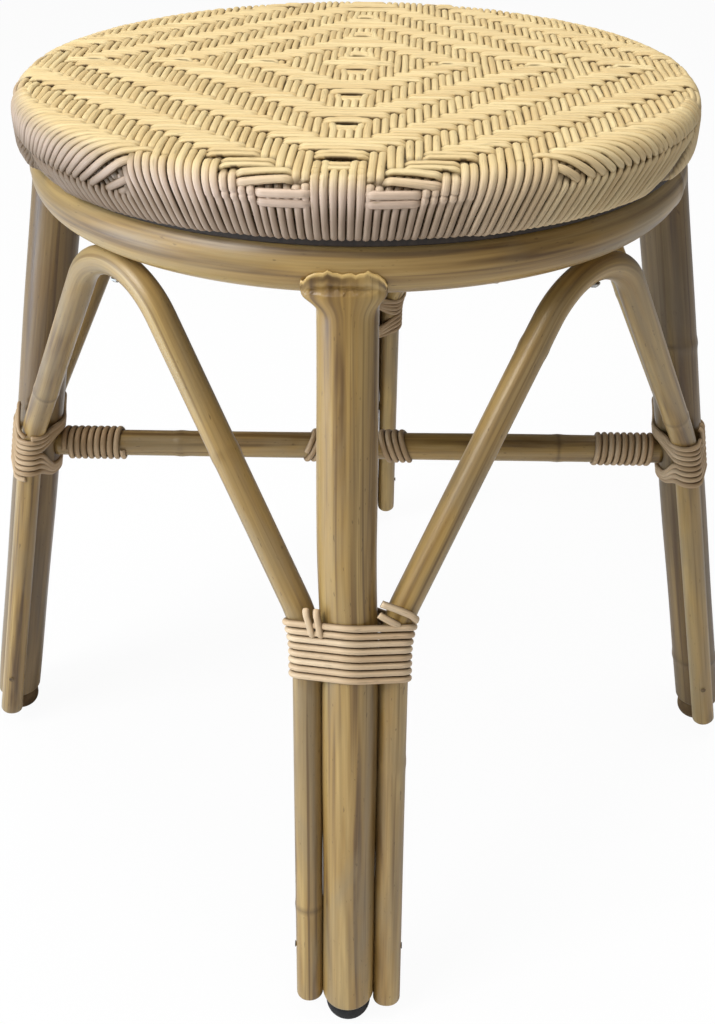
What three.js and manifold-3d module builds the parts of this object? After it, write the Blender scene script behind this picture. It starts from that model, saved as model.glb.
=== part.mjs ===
// Rattan stool: four splayed pole legs, a bent leg hoop, four bent braces, crossed stretchers and a woven round seat.
// Lengths are in millimetres, +Z is up, the front leg stands on -Y and the origin is on the floor under the middle.

import * as THREE from 'three';
import { mergeVertices } from 'three/addons/utils/BufferGeometryUtils.js';
import Module from 'manifold-3d';

const wasm = await Module();
wasm.setup();

// Seat
const seatDiameter = 380;
const seatHeight = 480.2;
const weaveDepth = 29.2;
const weaveThickness = 4.2;
const crownRise = 1.6;
const shoulderReach = 13;
const underEdgeReach = 9;
const weaveLipWidth = 12;
const boardDiameter = 364.6;
const boardThickness = 2.2;

// Leg hoop and legs
const hoopPoleDiameter = 28.4;
const hoopRadius = 171.8;
const legDiameter = 29.6;
const legTopOffset = 1.8;
const footRadius = 261.3;
const saddleLipRise = 1;
const saddleLipThickness = 2.8;
const saddleLipWidth = 41;
const saddleFlareHeight = 26;

// Braces
const braceDiameter = 15;
const braceApexBendRadius = 43;
const braceFootBendRadius = 60;
const braceBendHeight = 251.3;
const tailFootDrop = 3.4;

// Stretchers
const stretcherDiameter = 18;
const stretcherHeight = 234.3;

// Lashing strand and its turns
const strandWidth = 3.6;
const strandThickness = 2.2;
const bindingTurns = 8;
const bindingPitch = 4.75;
const bindingFanPitch = 4.6;
const endBindingHeight = 237.3;
const sideBindingHeight = 234.8;
const wrapTurns = 9;
const wrapPitch = 4.35;
const crossTurns = 4;
const crossPitch = 4.35;
const crossStart = 16.5;

// Foot glides
const glideDiameter = 27.6;
const glideHeight = 16;
const glideFlatDiameter = 19.6;
const glideSpikeDiameter = 2.6;
const glideSpikeLength = 15;

// Fixings
const flatHeadScrew = { headDiameter: 7, headDepth: 3, shankDiameter: 3.8 };
const roundHeadScrew = { headDiameter: 7, headDepth: 2.2, shankDiameter: 3.6 };
const tailNail = { headDiameter: 4, headDepth: 0.9, shankDiameter: 2 };
const headRecess = 1;
const legScrewLength = 62;
const stretcherScrewGrip = 25;
const braceScrewGrip = 12;
const seatScrewGrip = 12;
const nailGrip = 11;
const tailNailHeight = 48;

// Clearances
const restGap = 0.3;
const strandGap = 0.35;
const boreGap = 0.3;
const cutOverrun = 2;

// Counts
const ringSegments = 40;
const hoopSides = 12;
const poleSides = 16;
const braceSides = 10;
const wrapSteps = 8;
const fixingSides = 6;
const glideSegments = 12;
const apexSteps = 10;
const bendSteps = 4;
const edgeSteps = 4;

const quarterTurn = Math.PI / 2;
const fullTurn = Math.PI * 2;

// Heights and radii that follow from the driving sizes
const weaveBottom = seatHeight - weaveDepth;
const shoulderTop = seatHeight - crownRise;
const boardBottom = weaveBottom - restGap - boardThickness;
const hoopPole = hoopPoleDiameter / 2;
const hoopHeight = boardBottom - restGap - hoopPole;
const footHeight = glideHeight + restGap;
const legPole = legDiameter / 2;
const bracePole = braceDiameter / 2;
const stretcherPole = stretcherDiameter / 2;
const legTopRadius = hoopRadius + legTopOffset;
const rimPole = (shoulderTop - weaveBottom) / 2 - weaveThickness - strandGap;
const rimHeight = (shoulderTop + weaveBottom) / 2;
const rimRadius = seatDiameter / 2 - weaveThickness - strandGap - rimPole;
const tailOffset = legPole + restGap + bracePole;
const splay = Math.atan2(footRadius - legTopRadius, hoopHeight - footHeight);

function legRadiusAt(height) {
  const along = (height - footHeight) / (hoopHeight - footHeight);
  return footRadius + (legTopRadius - footRadius) * along;
}

// A closed body from a list of rings with the same number of points, with a flat cap at each end.
function skin(rings) {
  const sides = rings[0].length;
  const positions = rings.flat().flatMap((point) => [point.x, point.y, point.z]);
  const index = [];
  for (let ring = 0; ring + 1 < rings.length; ring += 1) {
    for (let side = 0; side < sides; side += 1) {
      const next = (side + 1) % sides;
      const a = ring * sides + side;
      const b = ring * sides + next;
      index.push(a, b, b + sides);
      index.push(a, b + sides, a + sides);
    }
  }
  const last = (rings.length - 1) * sides;
  for (let side = 1; side + 1 < sides; side += 1) {
    index.push(0, side + 1, side);
    index.push(last, last + side, last + side + 1);
  }
  const geometry = new THREE.BufferGeometry();
  geometry.setAttribute('position', new THREE.Float32BufferAttribute(positions, 3));
  geometry.setIndex(index);
  return faceOut(geometry);
}

// Turns the triangles over where they would face into the body.
function faceOut(geometry) {
  const place = geometry.getAttribute('position');
  const index = geometry.index.array;
  const corners = [new THREE.Vector3(), new THREE.Vector3(), new THREE.Vector3()];
  let volume = 0;
  for (let start = 0; start < index.length; start += 3) {
    corners.forEach((corner, which) => corner.fromBufferAttribute(place, index[start + which]));
    volume += corners[0].dot(corners[1].clone().cross(corners[2]));
  }
  if (volume < 0) {
    for (let start = 0; start < index.length; start += 3) {
      const kept = index[start + 1];
      index[start + 1] = index[start + 2];
      index[start + 2] = kept;
    }
  }
  return geometry;
}

function bare(geometry) {
  const copy = geometry.clone();
  copy.deleteAttribute('normal');
  copy.deleteAttribute('uv');
  return mergeVertices(copy);
}

// Turning a profile of radius and height pairs round +Z.
function turned(profile, segments) {
  const points = profile.map(([radius, height]) => new THREE.Vector2(radius, height));
  const geometry = bare(new THREE.LatheGeometry(points, segments));
  geometry.rotateX(quarterTurn);
  return faceOut(geometry);
}

function solid(geometry) {
  const plain = bare(geometry);
  const vertProperties = new Float32Array(plain.getAttribute('position').array);
  const triVerts = new Uint32Array(plain.index.array);
  return new wasm.Manifold(new wasm.Mesh({ numProp: 3, vertProperties, triVerts }));
}

function surface(manifold) {
  const mesh = manifold.getMesh();
  const geometry = new THREE.BufferGeometry();
  geometry.setAttribute('position', new THREE.BufferAttribute(new Float32Array(mesh.vertProperties), 3));
  geometry.setIndex(new THREE.BufferAttribute(new Uint32Array(mesh.triVerts), 1));
  return geometry;
}

function cut(body, tools) {
  return surface(tools.reduce((left, tool) => left.subtract(solid(tool)), solid(body)));
}

// A straight round rod between two points.
function rod(from, to, radius, sides) {
  const run = to.clone().sub(from);
  const geometry = new THREE.CylinderGeometry(radius, radius, run.length(), sides);
  const turn = new THREE.Quaternion().setFromUnitVectors(new THREE.Vector3(0, 1, 0), run.clone().normalize());
  geometry.applyQuaternion(turn);
  geometry.translate(...from.clone().lerp(to, 1 / 2).toArray());
  return geometry;
}

// A screw or nail with its head face at the origin and its point on -Z, or the hole that takes it.
const headCrownShare = 0.6;

function boreRadius(radius) {
  return (radius + boreGap) / Math.cos(Math.PI / fixingSides);
}

function fixing(kind, length, { round = false, hole = false } = {}) {
  const room = hole ? boreGap : 0;
  const head = hole ? boreRadius(kind.headDiameter / 2) : kind.headDiameter / 2;
  const shank = hole ? boreRadius(kind.shankDiameter / 2) : kind.shankDiameter / 2;
  const depth = kind.headDepth;
  const profile = [];
  if (hole) {
    profile.push([0, cutOverrun], [head, cutOverrun]);
  }
  if (round) {
    profile.push([0, 0], [head * headCrownShare, 0], [head, -depth / 2], [head, -depth]);
  } else {
    profile.push(hole ? [head, 0] : [0, 0]);
    profile.push([head, hole ? -room : 0]);
  }
  if (hole) {
    profile.push([shank, -depth], [shank, -length - room], [0, -length - room]);
  } else {
    profile.push([shank, -depth], [shank, -length + kind.shankDiameter], [0, -length]);
  }
  return turned(profile, fixingSides);
}

function aimed(geometry, headPlace, direction) {
  const turn = new THREE.Quaternion().setFromUnitVectors(new THREE.Vector3(0, 0, -1), direction.clone().normalize());
  return geometry.clone().applyQuaternion(turn).translate(...headPlace.toArray());
}

// Seat: the woven cover wraps round the rim pole and turns in under it.
function arcOf(centre, radii, from, to, steps, power) {
  const points = [];
  for (let step = 0; step <= steps; step += 1) {
    const angle = from + (to - from) * step / steps;
    const across = Math.cos(angle);
    const up = Math.sin(angle);
    points.push([
      centre[0] + radii[0] * Math.sign(across) * Math.abs(across) ** power,
      centre[1] + radii[1] * Math.sign(up) * Math.abs(up) ** power,
    ]);
  }
  return points;
}

const edgeSquarenessShare = 0.7;
const crownShares = [[0.75, 0.25], [0.4, 0.75]];

function seatWeave() {
  const side = seatDiameter / 2;
  const upper = [side - shoulderReach, rimHeight];
  const lower = [side - underEdgeReach, rimHeight];
  const half = shoulderTop - rimHeight;
  const crown = crownShares.map(([outShare, riseShare]) => [upper[0] * outShare, shoulderTop + crownRise * riseShare]);
  const innerCrown = crown.map(([radius, height]) => [radius, height - weaveThickness]).reverse();
  const tuck = rimRadius - weaveLipWidth;
  const hollow = rimPole + strandGap;
  const profile = [
    [0, seatHeight],
    ...crown.reverse(),
    ...arcOf(upper, [shoulderReach, half], quarterTurn, 0, edgeSteps, edgeSquarenessShare),
    ...arcOf(lower, [underEdgeReach, half], 0, -quarterTurn, edgeSteps, edgeSquarenessShare).slice(1),
    [tuck, weaveBottom],
    [tuck, weaveBottom + weaveThickness],
    ...arcOf([rimRadius, rimHeight], [hollow, hollow], -quarterTurn, quarterTurn, edgeSteps, 1),
    ...innerCrown,
    [0, seatHeight - weaveThickness],
  ];
  return turned(profile, ringSegments);
}

function poleRing(radius, height, pole, sides) {
  const profile = arcOf([radius, height], [pole, pole], -quarterTurn, fullTurn - quarterTurn, sides, 1);
  profile[sides] = profile[0];
  return turned(profile, ringSegments);
}

function disc(diameter, bottom, thickness) {
  const radius = diameter / 2;
  return turned([[0, bottom], [radius, bottom], [radius, bottom + thickness], [0, bottom + thickness]], ringSegments);
}

// A leg on the +X side, as level slices, with its saddle lip spread along the hoop.
function levelSlice(height, acrossRadius, alongRadius) {
  const ring = [];
  const middle = legRadiusAt(height);
  for (let side = 0; side < poleSides; side += 1) {
    const angle = fullTurn * side / poleSides;
    ring.push(new THREE.Vector3(
      middle + acrossRadius * Math.cos(angle),
      alongRadius * Math.sin(angle),
      height,
    ));
  }
  return ring;
}

const flareShares = [[1, 0], [0.6, 0.12], [0.3, 0.5], [0.1, 0.92], [0, 1]];

function legBody(extra) {
  const pole = legPole + extra;
  const top = hoopHeight + saddleLipRise;
  return skin([footHeight, top].map((height) => levelSlice(height, pole / Math.cos(splay), pole)));
}

function saddleLip() {
  const top = hoopHeight + saddleLipRise;
  const lipReach = hoopPole + saddleLipThickness;
  const fan = flareShares.map(([downShare, outShare]) => {
    const height = top - saddleFlareHeight * downShare;
    const half = legPole + (saddleLipWidth / 2 - legPole) * outShare;
    const inner = hoopRadius;
    const outer = hoopRadius + lipReach + cutOverrun;
    return [[inner, -half], [outer, -half], [outer, half], [inner, half]]
      .map(([x, y]) => new THREE.Vector3(x, y, height));
  });
  return solid(skin(fan)).intersect(solid(poleRing(hoopRadius, hoopHeight, lipReach, hoopSides)));
}

const legUp = new THREE.Vector3(-Math.sin(splay), 0, Math.cos(splay));
const legScrewHead = new THREE.Vector3(legTopRadius, 0, hoopHeight)
  .addScaledVector(legUp, hoopPole - headRecess);
const stretcherScrewHead = new THREE.Vector3(
  legRadiusAt(stretcherHeight) + legPole / Math.cos(splay) - headRecess,
  0,
  stretcherHeight,
);
const stretcherScrewLength = legDiameter / Math.cos(splay) + stretcherScrewGrip;
const inward = new THREE.Vector3(-1, 0, 0);
const legDown = legUp.clone().negate();
const screwHoles = [
  aimed(fixing(flatHeadScrew, legScrewLength, { hole: true }), legScrewHead, legDown),
  aimed(fixing(flatHeadScrew, stretcherScrewLength, { hole: true }), stretcherScrewHead, inward),
];

function nailHead(side) {
  return new THREE.Vector3(legRadiusAt(tailNailHeight), side * (tailOffset + bracePole + tailNail.headDepth), tailNailHeight);
}

function nailRun(side) {
  return new THREE.Vector3(0, -side, 0);
}

const nailLength = tailNail.headDepth + braceDiameter + restGap + nailGrip;

function nailHole(side) {
  return aimed(fixing(tailNail, nailLength, { hole: true }), nailHead(side), nailRun(side));
}

function leg() {
  const spike = rod(
    new THREE.Vector3(footRadius, 0, 0),
    new THREE.Vector3(footRadius, 0, footHeight + glideSpikeLength + boreGap),
    boreRadius(glideSpikeDiameter / 2),
    fixingSides,
  );
  const hoopRoom = poleRing(hoopRadius, hoopHeight, hoopPole + restGap, hoopSides);
  const whole = surface(solid(legBody(0)).add(saddleLip()));
  return cut(whole, [hoopRoom, spike, ...screwHoles, nailHole(1), nailHole(-1)]);
}

// Braces: the path runs up beside a leg, over its apex under the hoop and down beside the next leg.
class ChosenPath extends THREE.Curve {
  constructor(points) {
    super();
    this.points = points;
  }

  getPoint(share, target = new THREE.Vector3()) {
    const place = share * (this.points.length - 1);
    const from = Math.min(Math.floor(place), this.points.length - 2);
    return target.copy(this.points[from]).lerp(this.points[from + 1], place - from);
  }

  getTangent(share, target = new THREE.Vector3()) {
    const near = Math.round(share * (this.points.length - 1));
    const before = this.points[Math.max(near - 1, 0)];
    const after = this.points[Math.min(near + 1, this.points.length - 1)];
    return target.copy(after).sub(before).normalize();
  }

  getUtoTmapping(share) {
    return share;
  }
}

function bend(before, corner, after, radius, steps) {
  const backward = before.clone().sub(corner).normalize();
  const forward = after.clone().sub(corner).normalize();
  const half = backward.angleTo(forward) / 2;
  const centre = backward.clone().add(forward).normalize().multiplyScalar(radius / Math.sin(half)).add(corner);
  const first = corner.clone().addScaledVector(backward, radius / Math.tan(half)).sub(centre);
  const turnAxis = backward.clone().cross(forward).normalize();
  const sweep = Math.PI - half * 2;
  const points = [];
  for (let step = 0; step <= steps; step += 1) {
    points.push(first.clone().applyAxisAngle(turnAxis, -sweep * step / steps).add(centre));
  }
  return points;
}

const braceApexHeight = hoopHeight - hoopPole - restGap - bracePole;
const braceTurn = Math.PI / 4;

function bracePath() {
  const foot = footHeight - tailFootDrop;
  const across = new THREE.Vector3(-1, 1, 0).normalize();
  const mirror = (point) => new THREE.Vector3(point.y, point.x, point.z);
  const tailEnd = new THREE.Vector3(legRadiusAt(foot), tailOffset, foot);
  const corner = new THREE.Vector3(legRadiusAt(braceBendHeight), tailOffset, braceBendHeight);
  const apex = new THREE.Vector3(hoopRadius * Math.cos(braceTurn), hoopRadius * Math.sin(braceTurn), braceApexHeight);
  const middle = corner.clone().add(mirror(corner)).divideScalar(2);
  const up = apex.clone().sub(middle).normalize();
  const halfSpan = -corner.clone().sub(middle).dot(across);
  const centreRise = apex.distanceTo(middle) - braceApexBendRadius;
  const reach = Math.hypot(halfSpan, centreRise);
  const rise = Math.atan2(centreRise, halfSpan) + Math.asin(braceApexBendRadius / reach);
  const peak = middle.clone().addScaledVector(up, halfSpan * Math.tan(rise));
  const half = [tailEnd, ...bend(tailEnd, corner, peak, braceFootBendRadius, bendSteps)];
  const top = bend(corner, peak, mirror(corner), braceApexBendRadius, apexSteps);
  return [...half, ...top, ...half.map(mirror).reverse()];
}

const bracePoints = bracePath();

function roundSection(radius, sides) {
  const points = [];
  for (let side = 0; side < sides; side += 1) {
    const angle = fullTurn * side / sides;
    points.push(new THREE.Vector2(radius * Math.cos(angle), radius * Math.sin(angle)));
  }
  return new THREE.Shape(points);
}

const braceScrewLength = roundHeadScrew.headDepth + braceDiameter + restGap * 2 + braceScrewGrip;
const upward = new THREE.Vector3(0, 0, 1);
const braceScrewHead = new THREE.Vector3(
  hoopRadius * Math.cos(braceTurn),
  hoopRadius * Math.sin(braceTurn),
  braceApexHeight - bracePole - restGap - roundHeadScrew.headDepth,
);

function shankHole(head, direction, length, kind) {
  const end = head.clone().addScaledVector(direction, length + boreGap);
  return rod(head, end, boreRadius(kind.shankDiameter / 2), fixingSides);
}

const braceScrewHole = shankHole(braceScrewHead, upward, braceScrewLength, roundHeadScrew);

function turnedTo(geometry, angle) {
  return geometry.clone().rotateZ(angle);
}

function brace() {
  const tube = new THREE.ExtrudeGeometry(roundSection(bracePole, braceSides), {
    steps: bracePoints.length - 1,
    extrudePath: new ChosenPath(bracePoints),
  });
  return cut(faceOut(bare(tube)), [braceScrewHole, nailHole(1), turnedTo(nailHole(-1), quarterTurn)]);
}

// Stretchers: coped to the legs and halved where they cross.
function stretcher(notchSide) {
  const reach = legRadiusAt(stretcherHeight);
  const blank = rod(
    new THREE.Vector3(-reach, 0, stretcherHeight),
    new THREE.Vector3(reach, 0, stretcherHeight),
    stretcherPole,
    poleSides,
  );
  const notchWidth = stretcherDiameter + restGap * 2;
  const notch = new THREE.BoxGeometry(notchWidth, stretcherDiameter + cutOverrun, stretcherDiameter);
  notch.translate(0, 0, stretcherHeight + notchSide * (stretcherPole - restGap / 2));
  const room = legBody(restGap);
  const hole = screwHoles[1];
  return cut(blank, [notch, room, turnedTo(room, Math.PI), hole, turnedTo(hole, Math.PI)]);
}

// Windings: one split strand whose broad side lies on the poles. Each place holds a point and the way out from the pole.
const strandSectionShares = [[1, -1], [0.65, 1], [-0.65, 1], [-1, -1]];

function strandTube(places) {
  const rings = places.map((place, at) => {
    const before = places[Math.max(at - 1, 0)].point;
    const after = places[Math.min(at + 1, places.length - 1)].point;
    const run = after.clone().sub(before).normalize();
    const broad = run.clone().cross(place.out).normalize();
    const thick = broad.clone().cross(run);
    return strandSectionShares.map(([acrossShare, outShare]) => place.point.clone()
      .addScaledVector(broad, strandWidth / 2 * acrossShare)
      .addScaledVector(thick, strandThickness / 2 * outShare));
  });
  return skin(rings);
}

// The least gap from a winding to its own other turns, from its points to its runs.
function reportLeastGap(name, places, stepsPerTurn) {
  const run = new THREE.Line3();
  const nearest = new THREE.Vector3();
  let least = Infinity;
  places.forEach(({ point }, at) => {
    for (let other = at + Math.floor(stepsPerTurn / 2); other + 1 < places.length; other += 1) {
      run.set(places[other].point, places[other + 1].point);
      run.closestPointToPoint(point, true, nearest);
      least = Math.min(least, nearest.distanceTo(point) - strandWidth);
    }
  });
  console.log(`${name}: least gap between turns ${least.toFixed(2)} mm`);
}

// Where a leg on the +X side and its two tails stand at a height, as circles in a level slice.
function poleSlice(height) {
  let at = 0;
  while (bracePoints[at + 1].z < height) {
    at += 1;
  }
  const from = bracePoints[at];
  const to = bracePoints[at + 1];
  const point = from.clone().lerp(to, (height - from.z) / (to.z - from.z));
  const radius = bracePole / to.clone().sub(from).normalize().z;
  return [
    { x: legRadiusAt(height), y: 0, radius: legPole / Math.cos(splay) },
    { x: point.x, y: point.y, radius },
    { x: point.x, y: -point.y, radius },
  ];
}

// The ways that the outline of a leg and its tails faces, once round. A strand changes its way between two of them.
const tangentTurn = Math.acos((legPole - bracePole) / tailOffset);
const sideFacings = [
  quarterTurn - tangentTurn,
  quarterTurn / 2,
  quarterTurn,
  quarterTurn + quarterTurn / 2,
  quarterTurn + tangentTurn,
];
const facings = [...sideFacings, Math.PI, ...sideFacings.map((facing) => facing + Math.PI)];
const liftShares = [0, 0, 0, 0, 0.25, 1, 1, 0.25, 0, 0, 0];
const startCorner = 2;
const standOff = strandGap + strandThickness / 2;
const wrapReach = (stretcherPole + standOff) / Math.cos(Math.PI / wrapSteps) + strandThickness / 2;
const passBy = wrapReach + strandGap + strandWidth / 2;

function farthest(circles, facing) {
  return Math.max(...circles.map(({ x, y, radius }) => x * Math.cos(facing) + y * Math.sin(facing) + radius));
}

function outlineCorner(corner, height) {
  const second = facings[corner];
  const first = corner > 0 ? facings[corner - 1] : facings[facings.length - 1] - fullTurn;
  const circles = [-1, 0, 1].flatMap((side) => poleSlice(height + side * strandWidth / 2));
  const reachFirst = farthest(circles, first) + standOff;
  const reachSecond = farthest(circles, second) + standOff;
  const turn = Math.sin(second - first);
  const facing = (first + second) / 2;
  return {
    point: new THREE.Vector3(
      (reachFirst * Math.sin(second) - reachSecond * Math.sin(first)) / turn,
      (reachSecond * Math.cos(first) - reachFirst * Math.cos(second)) / turn,
      height,
    ),
    out: new THREE.Vector3(Math.cos(facing), Math.sin(facing), 0),
  };
}

// The height at which a turn passes over or under the stretcher, on the inner side.
function passHeight(turn) {
  const upperTurns = bindingTurns / 2;
  const above = turn < upperTurns;
  const fromStretcher = above ? upperTurns - 1 - turn : turn - upperTurns;
  const away = passBy + bindingFanPitch * fromStretcher;
  return stretcherHeight + (above ? away : -away);
}

function bindingPlaces(middleHeight) {
  const places = [];
  const steps = facings.length;
  for (let count = 0; count <= bindingTurns * steps; count += 1) {
    const turn = Math.min(Math.floor(count / steps), bindingTurns - 1);
    const corner = (count + startCorner) % steps;
    const plain = middleHeight + bindingPitch * (bindingTurns / 2 - count / steps);
    const lift = liftShares[corner];
    places.push(outlineCorner(corner, plain * (1 - lift) + passHeight(turn) * lift));
  }
  return places;
}

// Turns round a pole on the X axis. The advance gives the place along the pole after so many turns.
function coilPlaces(turns, advance, startTurn, height) {
  const places = [];
  const reach = (stretcherPole + standOff) / Math.cos(Math.PI / wrapSteps);
  for (let count = 0; count <= turns * wrapSteps; count += 1) {
    const angle = startTurn + fullTurn * count / wrapSteps;
    const out = new THREE.Vector3(0, Math.cos(angle), Math.sin(angle));
    const point = out.clone().multiplyScalar(reach);
    point.x = advance(count / wrapSteps);
    point.z += height;
    places.push({ point, out });
  }
  return places;
}

const legInnerFace = legRadiusAt(stretcherHeight) - legPole / Math.cos(splay);
const wrapStart = legInnerFace - wrapReach * Math.tan(splay) - strandGap - strandWidth / 2;
const wrapPlaces = coilPlaces(wrapTurns, (turn) => wrapStart - wrapPitch * turn, 0, stretcherHeight);

// The cross lashing turns round one arm, crosses over the joint in half a turn and turns round the other arm.
function crossAdvance(turn) {
  const outerEnd = crossStart + crossPitch * crossTurns;
  const crossed = turn - crossTurns;
  if (crossed <= 0) {
    return outerEnd - crossPitch * turn;
  }
  if (crossed <= 1 / 2) {
    return crossStart - crossStart * 2 * crossed * 2;
  }
  return -crossStart - crossPitch * (crossed - 1 / 2);
}

const crossPlaces = coilPlaces(crossTurns * 2 + 1 / 2, crossAdvance, 0, 0);

// Foot glide with its spike, under the leg's cut end.
const glideEdgeShares = [[0.5, 0.13], [0.87, 0.5], [1, 1]];

function glide() {
  const half = glideDiameter / 2;
  const flat = glideFlatDiameter / 2;
  const spike = glideSpikeDiameter / 2;
  const edge = half - flat;
  const tip = glideHeight + glideSpikeLength;
  return turned([
    [0, 0],
    [flat, 0],
    ...glideEdgeShares.map(([outShare, upShare]) => [flat + edge * outShare, edge * upShare]),
    [half, glideHeight],
    [spike, glideHeight],
    [spike, tip - glideSpikeDiameter],
    [0, tip],
  ], glideSegments);
}

// Seat screws go up from the hoop through the board and the woven lip into the rim pole.
const seatScrewTurn = quarterTurn / 4;
const seatScrewRadius = (hoopRadius + rimRadius) / 2;
const seatScrewHead = new THREE.Vector3(
  seatScrewRadius * Math.cos(seatScrewTurn),
  seatScrewRadius * Math.sin(seatScrewTurn),
  hoopHeight - hoopPole + headRecess,
);
const seatScrewLength = rimHeight - rimPole + seatScrewGrip - seatScrewHead.z;
const seatScrewHole = aimed(fixing(flatHeadScrew, seatScrewLength, { hole: true }), seatScrewHead, upward);

const corners = [
  { name: 'front', angle: -quarterTurn },
  { name: 'right', angle: 0 },
  { name: 'back', angle: quarterTurn },
  { name: 'left', angle: Math.PI },
];
const braceNames = ['front_right', 'back_right', 'back_left', 'front_left'];

function allRound(geometry) {
  return corners.map(({ angle }) => turnedTo(geometry, angle));
}

const finishes = {
  pole: { color: 0xa08c63, roughness: 0.5, metalness: 0 },
  strand: { color: 0xd9c193, roughness: 0.6, metalness: 0 },
  weave: { color: 0xe2c795, roughness: 0.6, metalness: 0 },
  board: { color: 0x4a3b30, roughness: 0.7, metalness: 0 },
  rubber: { color: 0x17151a, roughness: 0.5, metalness: 0 },
  steel: { color: 0x9a948a, roughness: 0.4, metalness: 0.9 },
};

const stool = new THREE.Group();

function place(name, geometry, finish, angle = 0) {
  const mesh = new THREE.Mesh(geometry, new THREE.MeshStandardMaterial(finishes[finish]));
  mesh.name = name;
  mesh.rotation.z = angle;
  stool.add(mesh);
  return mesh;
}

const seatScrewHoles = allRound(seatScrewHole);
place('seat_weave', cut(seatWeave(), seatScrewHoles), 'weave');
place('seat_rim_hoop', cut(poleRing(rimRadius, rimHeight, rimPole, edgeSteps * 2), seatScrewHoles), 'pole');
place('seat_board', cut(disc(boardDiameter, boardBottom, boardThickness), seatScrewHoles), 'board');
place('leg_hoop', cut(poleRing(hoopRadius, hoopHeight, hoopPole, hoopSides), [
  ...allRound(screwHoles[0]),
  ...allRound(braceScrewHole),
  ...seatScrewHoles,
]), 'pole');

const legGeometry = leg();
const braceGeometry = brace();
const endBindingRun = bindingPlaces(endBindingHeight);
const sideBindingRun = bindingPlaces(sideBindingHeight);
const wrapGeometry = strandTube(wrapPlaces);
const crossGeometry = strandTube(crossPlaces);
reportLeastGap('front and back leg bindings', endBindingRun, facings.length);
reportLeastGap('side leg bindings', sideBindingRun, facings.length);
reportLeastGap('stretcher wrap', wrapPlaces, wrapSteps);
reportLeastGap('cross lashing', crossPlaces, wrapSteps);

corners.forEach(({ name, angle }, at) => {
  place(`leg_${name}`, legGeometry, 'pole', angle);
  place(`brace_${braceNames[at]}`, braceGeometry, 'pole', angle);
  place(`leg_binding_${name}`, strandTube(at % 2 ? sideBindingRun : endBindingRun), 'strand', angle);
  place(`stretcher_wrap_${name}`, wrapGeometry, 'strand', angle);
  const foot = place(`foot_glide_${name}`, glide(), 'rubber', angle);
  foot.position.set(footRadius * Math.cos(angle), footRadius * Math.sin(angle), 0);
  place(`leg_screw_${name}`, aimed(fixing(flatHeadScrew, legScrewLength), legScrewHead, legDown), 'steel', angle);
  place(`stretcher_screw_${name}`,
    aimed(fixing(flatHeadScrew, stretcherScrewLength), stretcherScrewHead, inward), 'steel', angle);
  place(`brace_screw_${braceNames[at]}`,
    aimed(fixing(roundHeadScrew, braceScrewLength, { round: true }), braceScrewHead, upward), 'steel', angle);
  place(`seat_screw_${name}`, aimed(fixing(flatHeadScrew, seatScrewLength), seatScrewHead, upward), 'steel', angle);
  [1, -1].forEach((side) => {
    place(`tail_nail_${name}_${side > 0 ? 'a' : 'b'}`,
      aimed(fixing(tailNail, nailLength), nailHead(side), nailRun(side)), 'steel', angle);
  });
});

place('stretcher_side_to_side', stretcher(-1), 'pole');
place('stretcher_front_to_back', stretcher(1), 'pole', quarterTurn);

const overLashing = place('cross_lashing_over', crossGeometry, 'strand');
overLashing.position.z = stretcherHeight;
const underLashing = place('cross_lashing_under', crossGeometry, 'strand');
underLashing.position.z = stretcherHeight;
underLashing.rotation.set(Math.PI, 0, quarterTurn);

export default stool;
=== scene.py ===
# %% [markdown]
# A rattan stool. Peeled poles make the frame, split strands lash it together, and a thick mat of
# round core is woven over a rim hoop for the seat. The solids of the frame come in first. They say
# where each piece sits, and every piece below is built on them with a finer surface.

# %% Bring in the frame of solids
import itertools
import math
import bpy
import numpy as np
from mathutils import Matrix, Vector


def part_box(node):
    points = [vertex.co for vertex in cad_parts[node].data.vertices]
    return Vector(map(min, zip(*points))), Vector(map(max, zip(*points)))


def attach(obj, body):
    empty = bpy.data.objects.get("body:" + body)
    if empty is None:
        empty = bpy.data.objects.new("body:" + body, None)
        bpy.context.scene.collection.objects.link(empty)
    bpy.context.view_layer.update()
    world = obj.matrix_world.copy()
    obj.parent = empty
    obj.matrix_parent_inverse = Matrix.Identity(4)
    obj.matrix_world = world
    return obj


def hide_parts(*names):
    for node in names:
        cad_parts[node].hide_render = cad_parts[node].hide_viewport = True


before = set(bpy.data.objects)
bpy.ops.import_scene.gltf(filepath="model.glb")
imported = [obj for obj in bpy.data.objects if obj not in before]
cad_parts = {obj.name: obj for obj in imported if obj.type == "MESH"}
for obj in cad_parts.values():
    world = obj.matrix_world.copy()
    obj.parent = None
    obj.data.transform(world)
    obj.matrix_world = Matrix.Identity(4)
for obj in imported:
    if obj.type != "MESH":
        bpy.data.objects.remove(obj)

MM = 0.001
UP = np.array([0.0, 0.0, 1.0])
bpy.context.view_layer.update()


def solid_sizes(node):
    """A solid's lowest and highest corner in mm."""
    return tuple(np.array(corner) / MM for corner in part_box(node))


def put_in_scene(name, data):
    """A new object in the scene."""
    thing = bpy.data.objects.new(name, data)
    bpy.context.scene.collection.objects.link(thing)
    return thing


# %% [markdown]
# The camera stands 0.7 m in front of the stool's middle, a third higher than the seat, and looks
# down on the front leg. Its place comes from matching the model to the photograph, so it is
# written as a point in mm, three angles in degrees and a lens.

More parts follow.
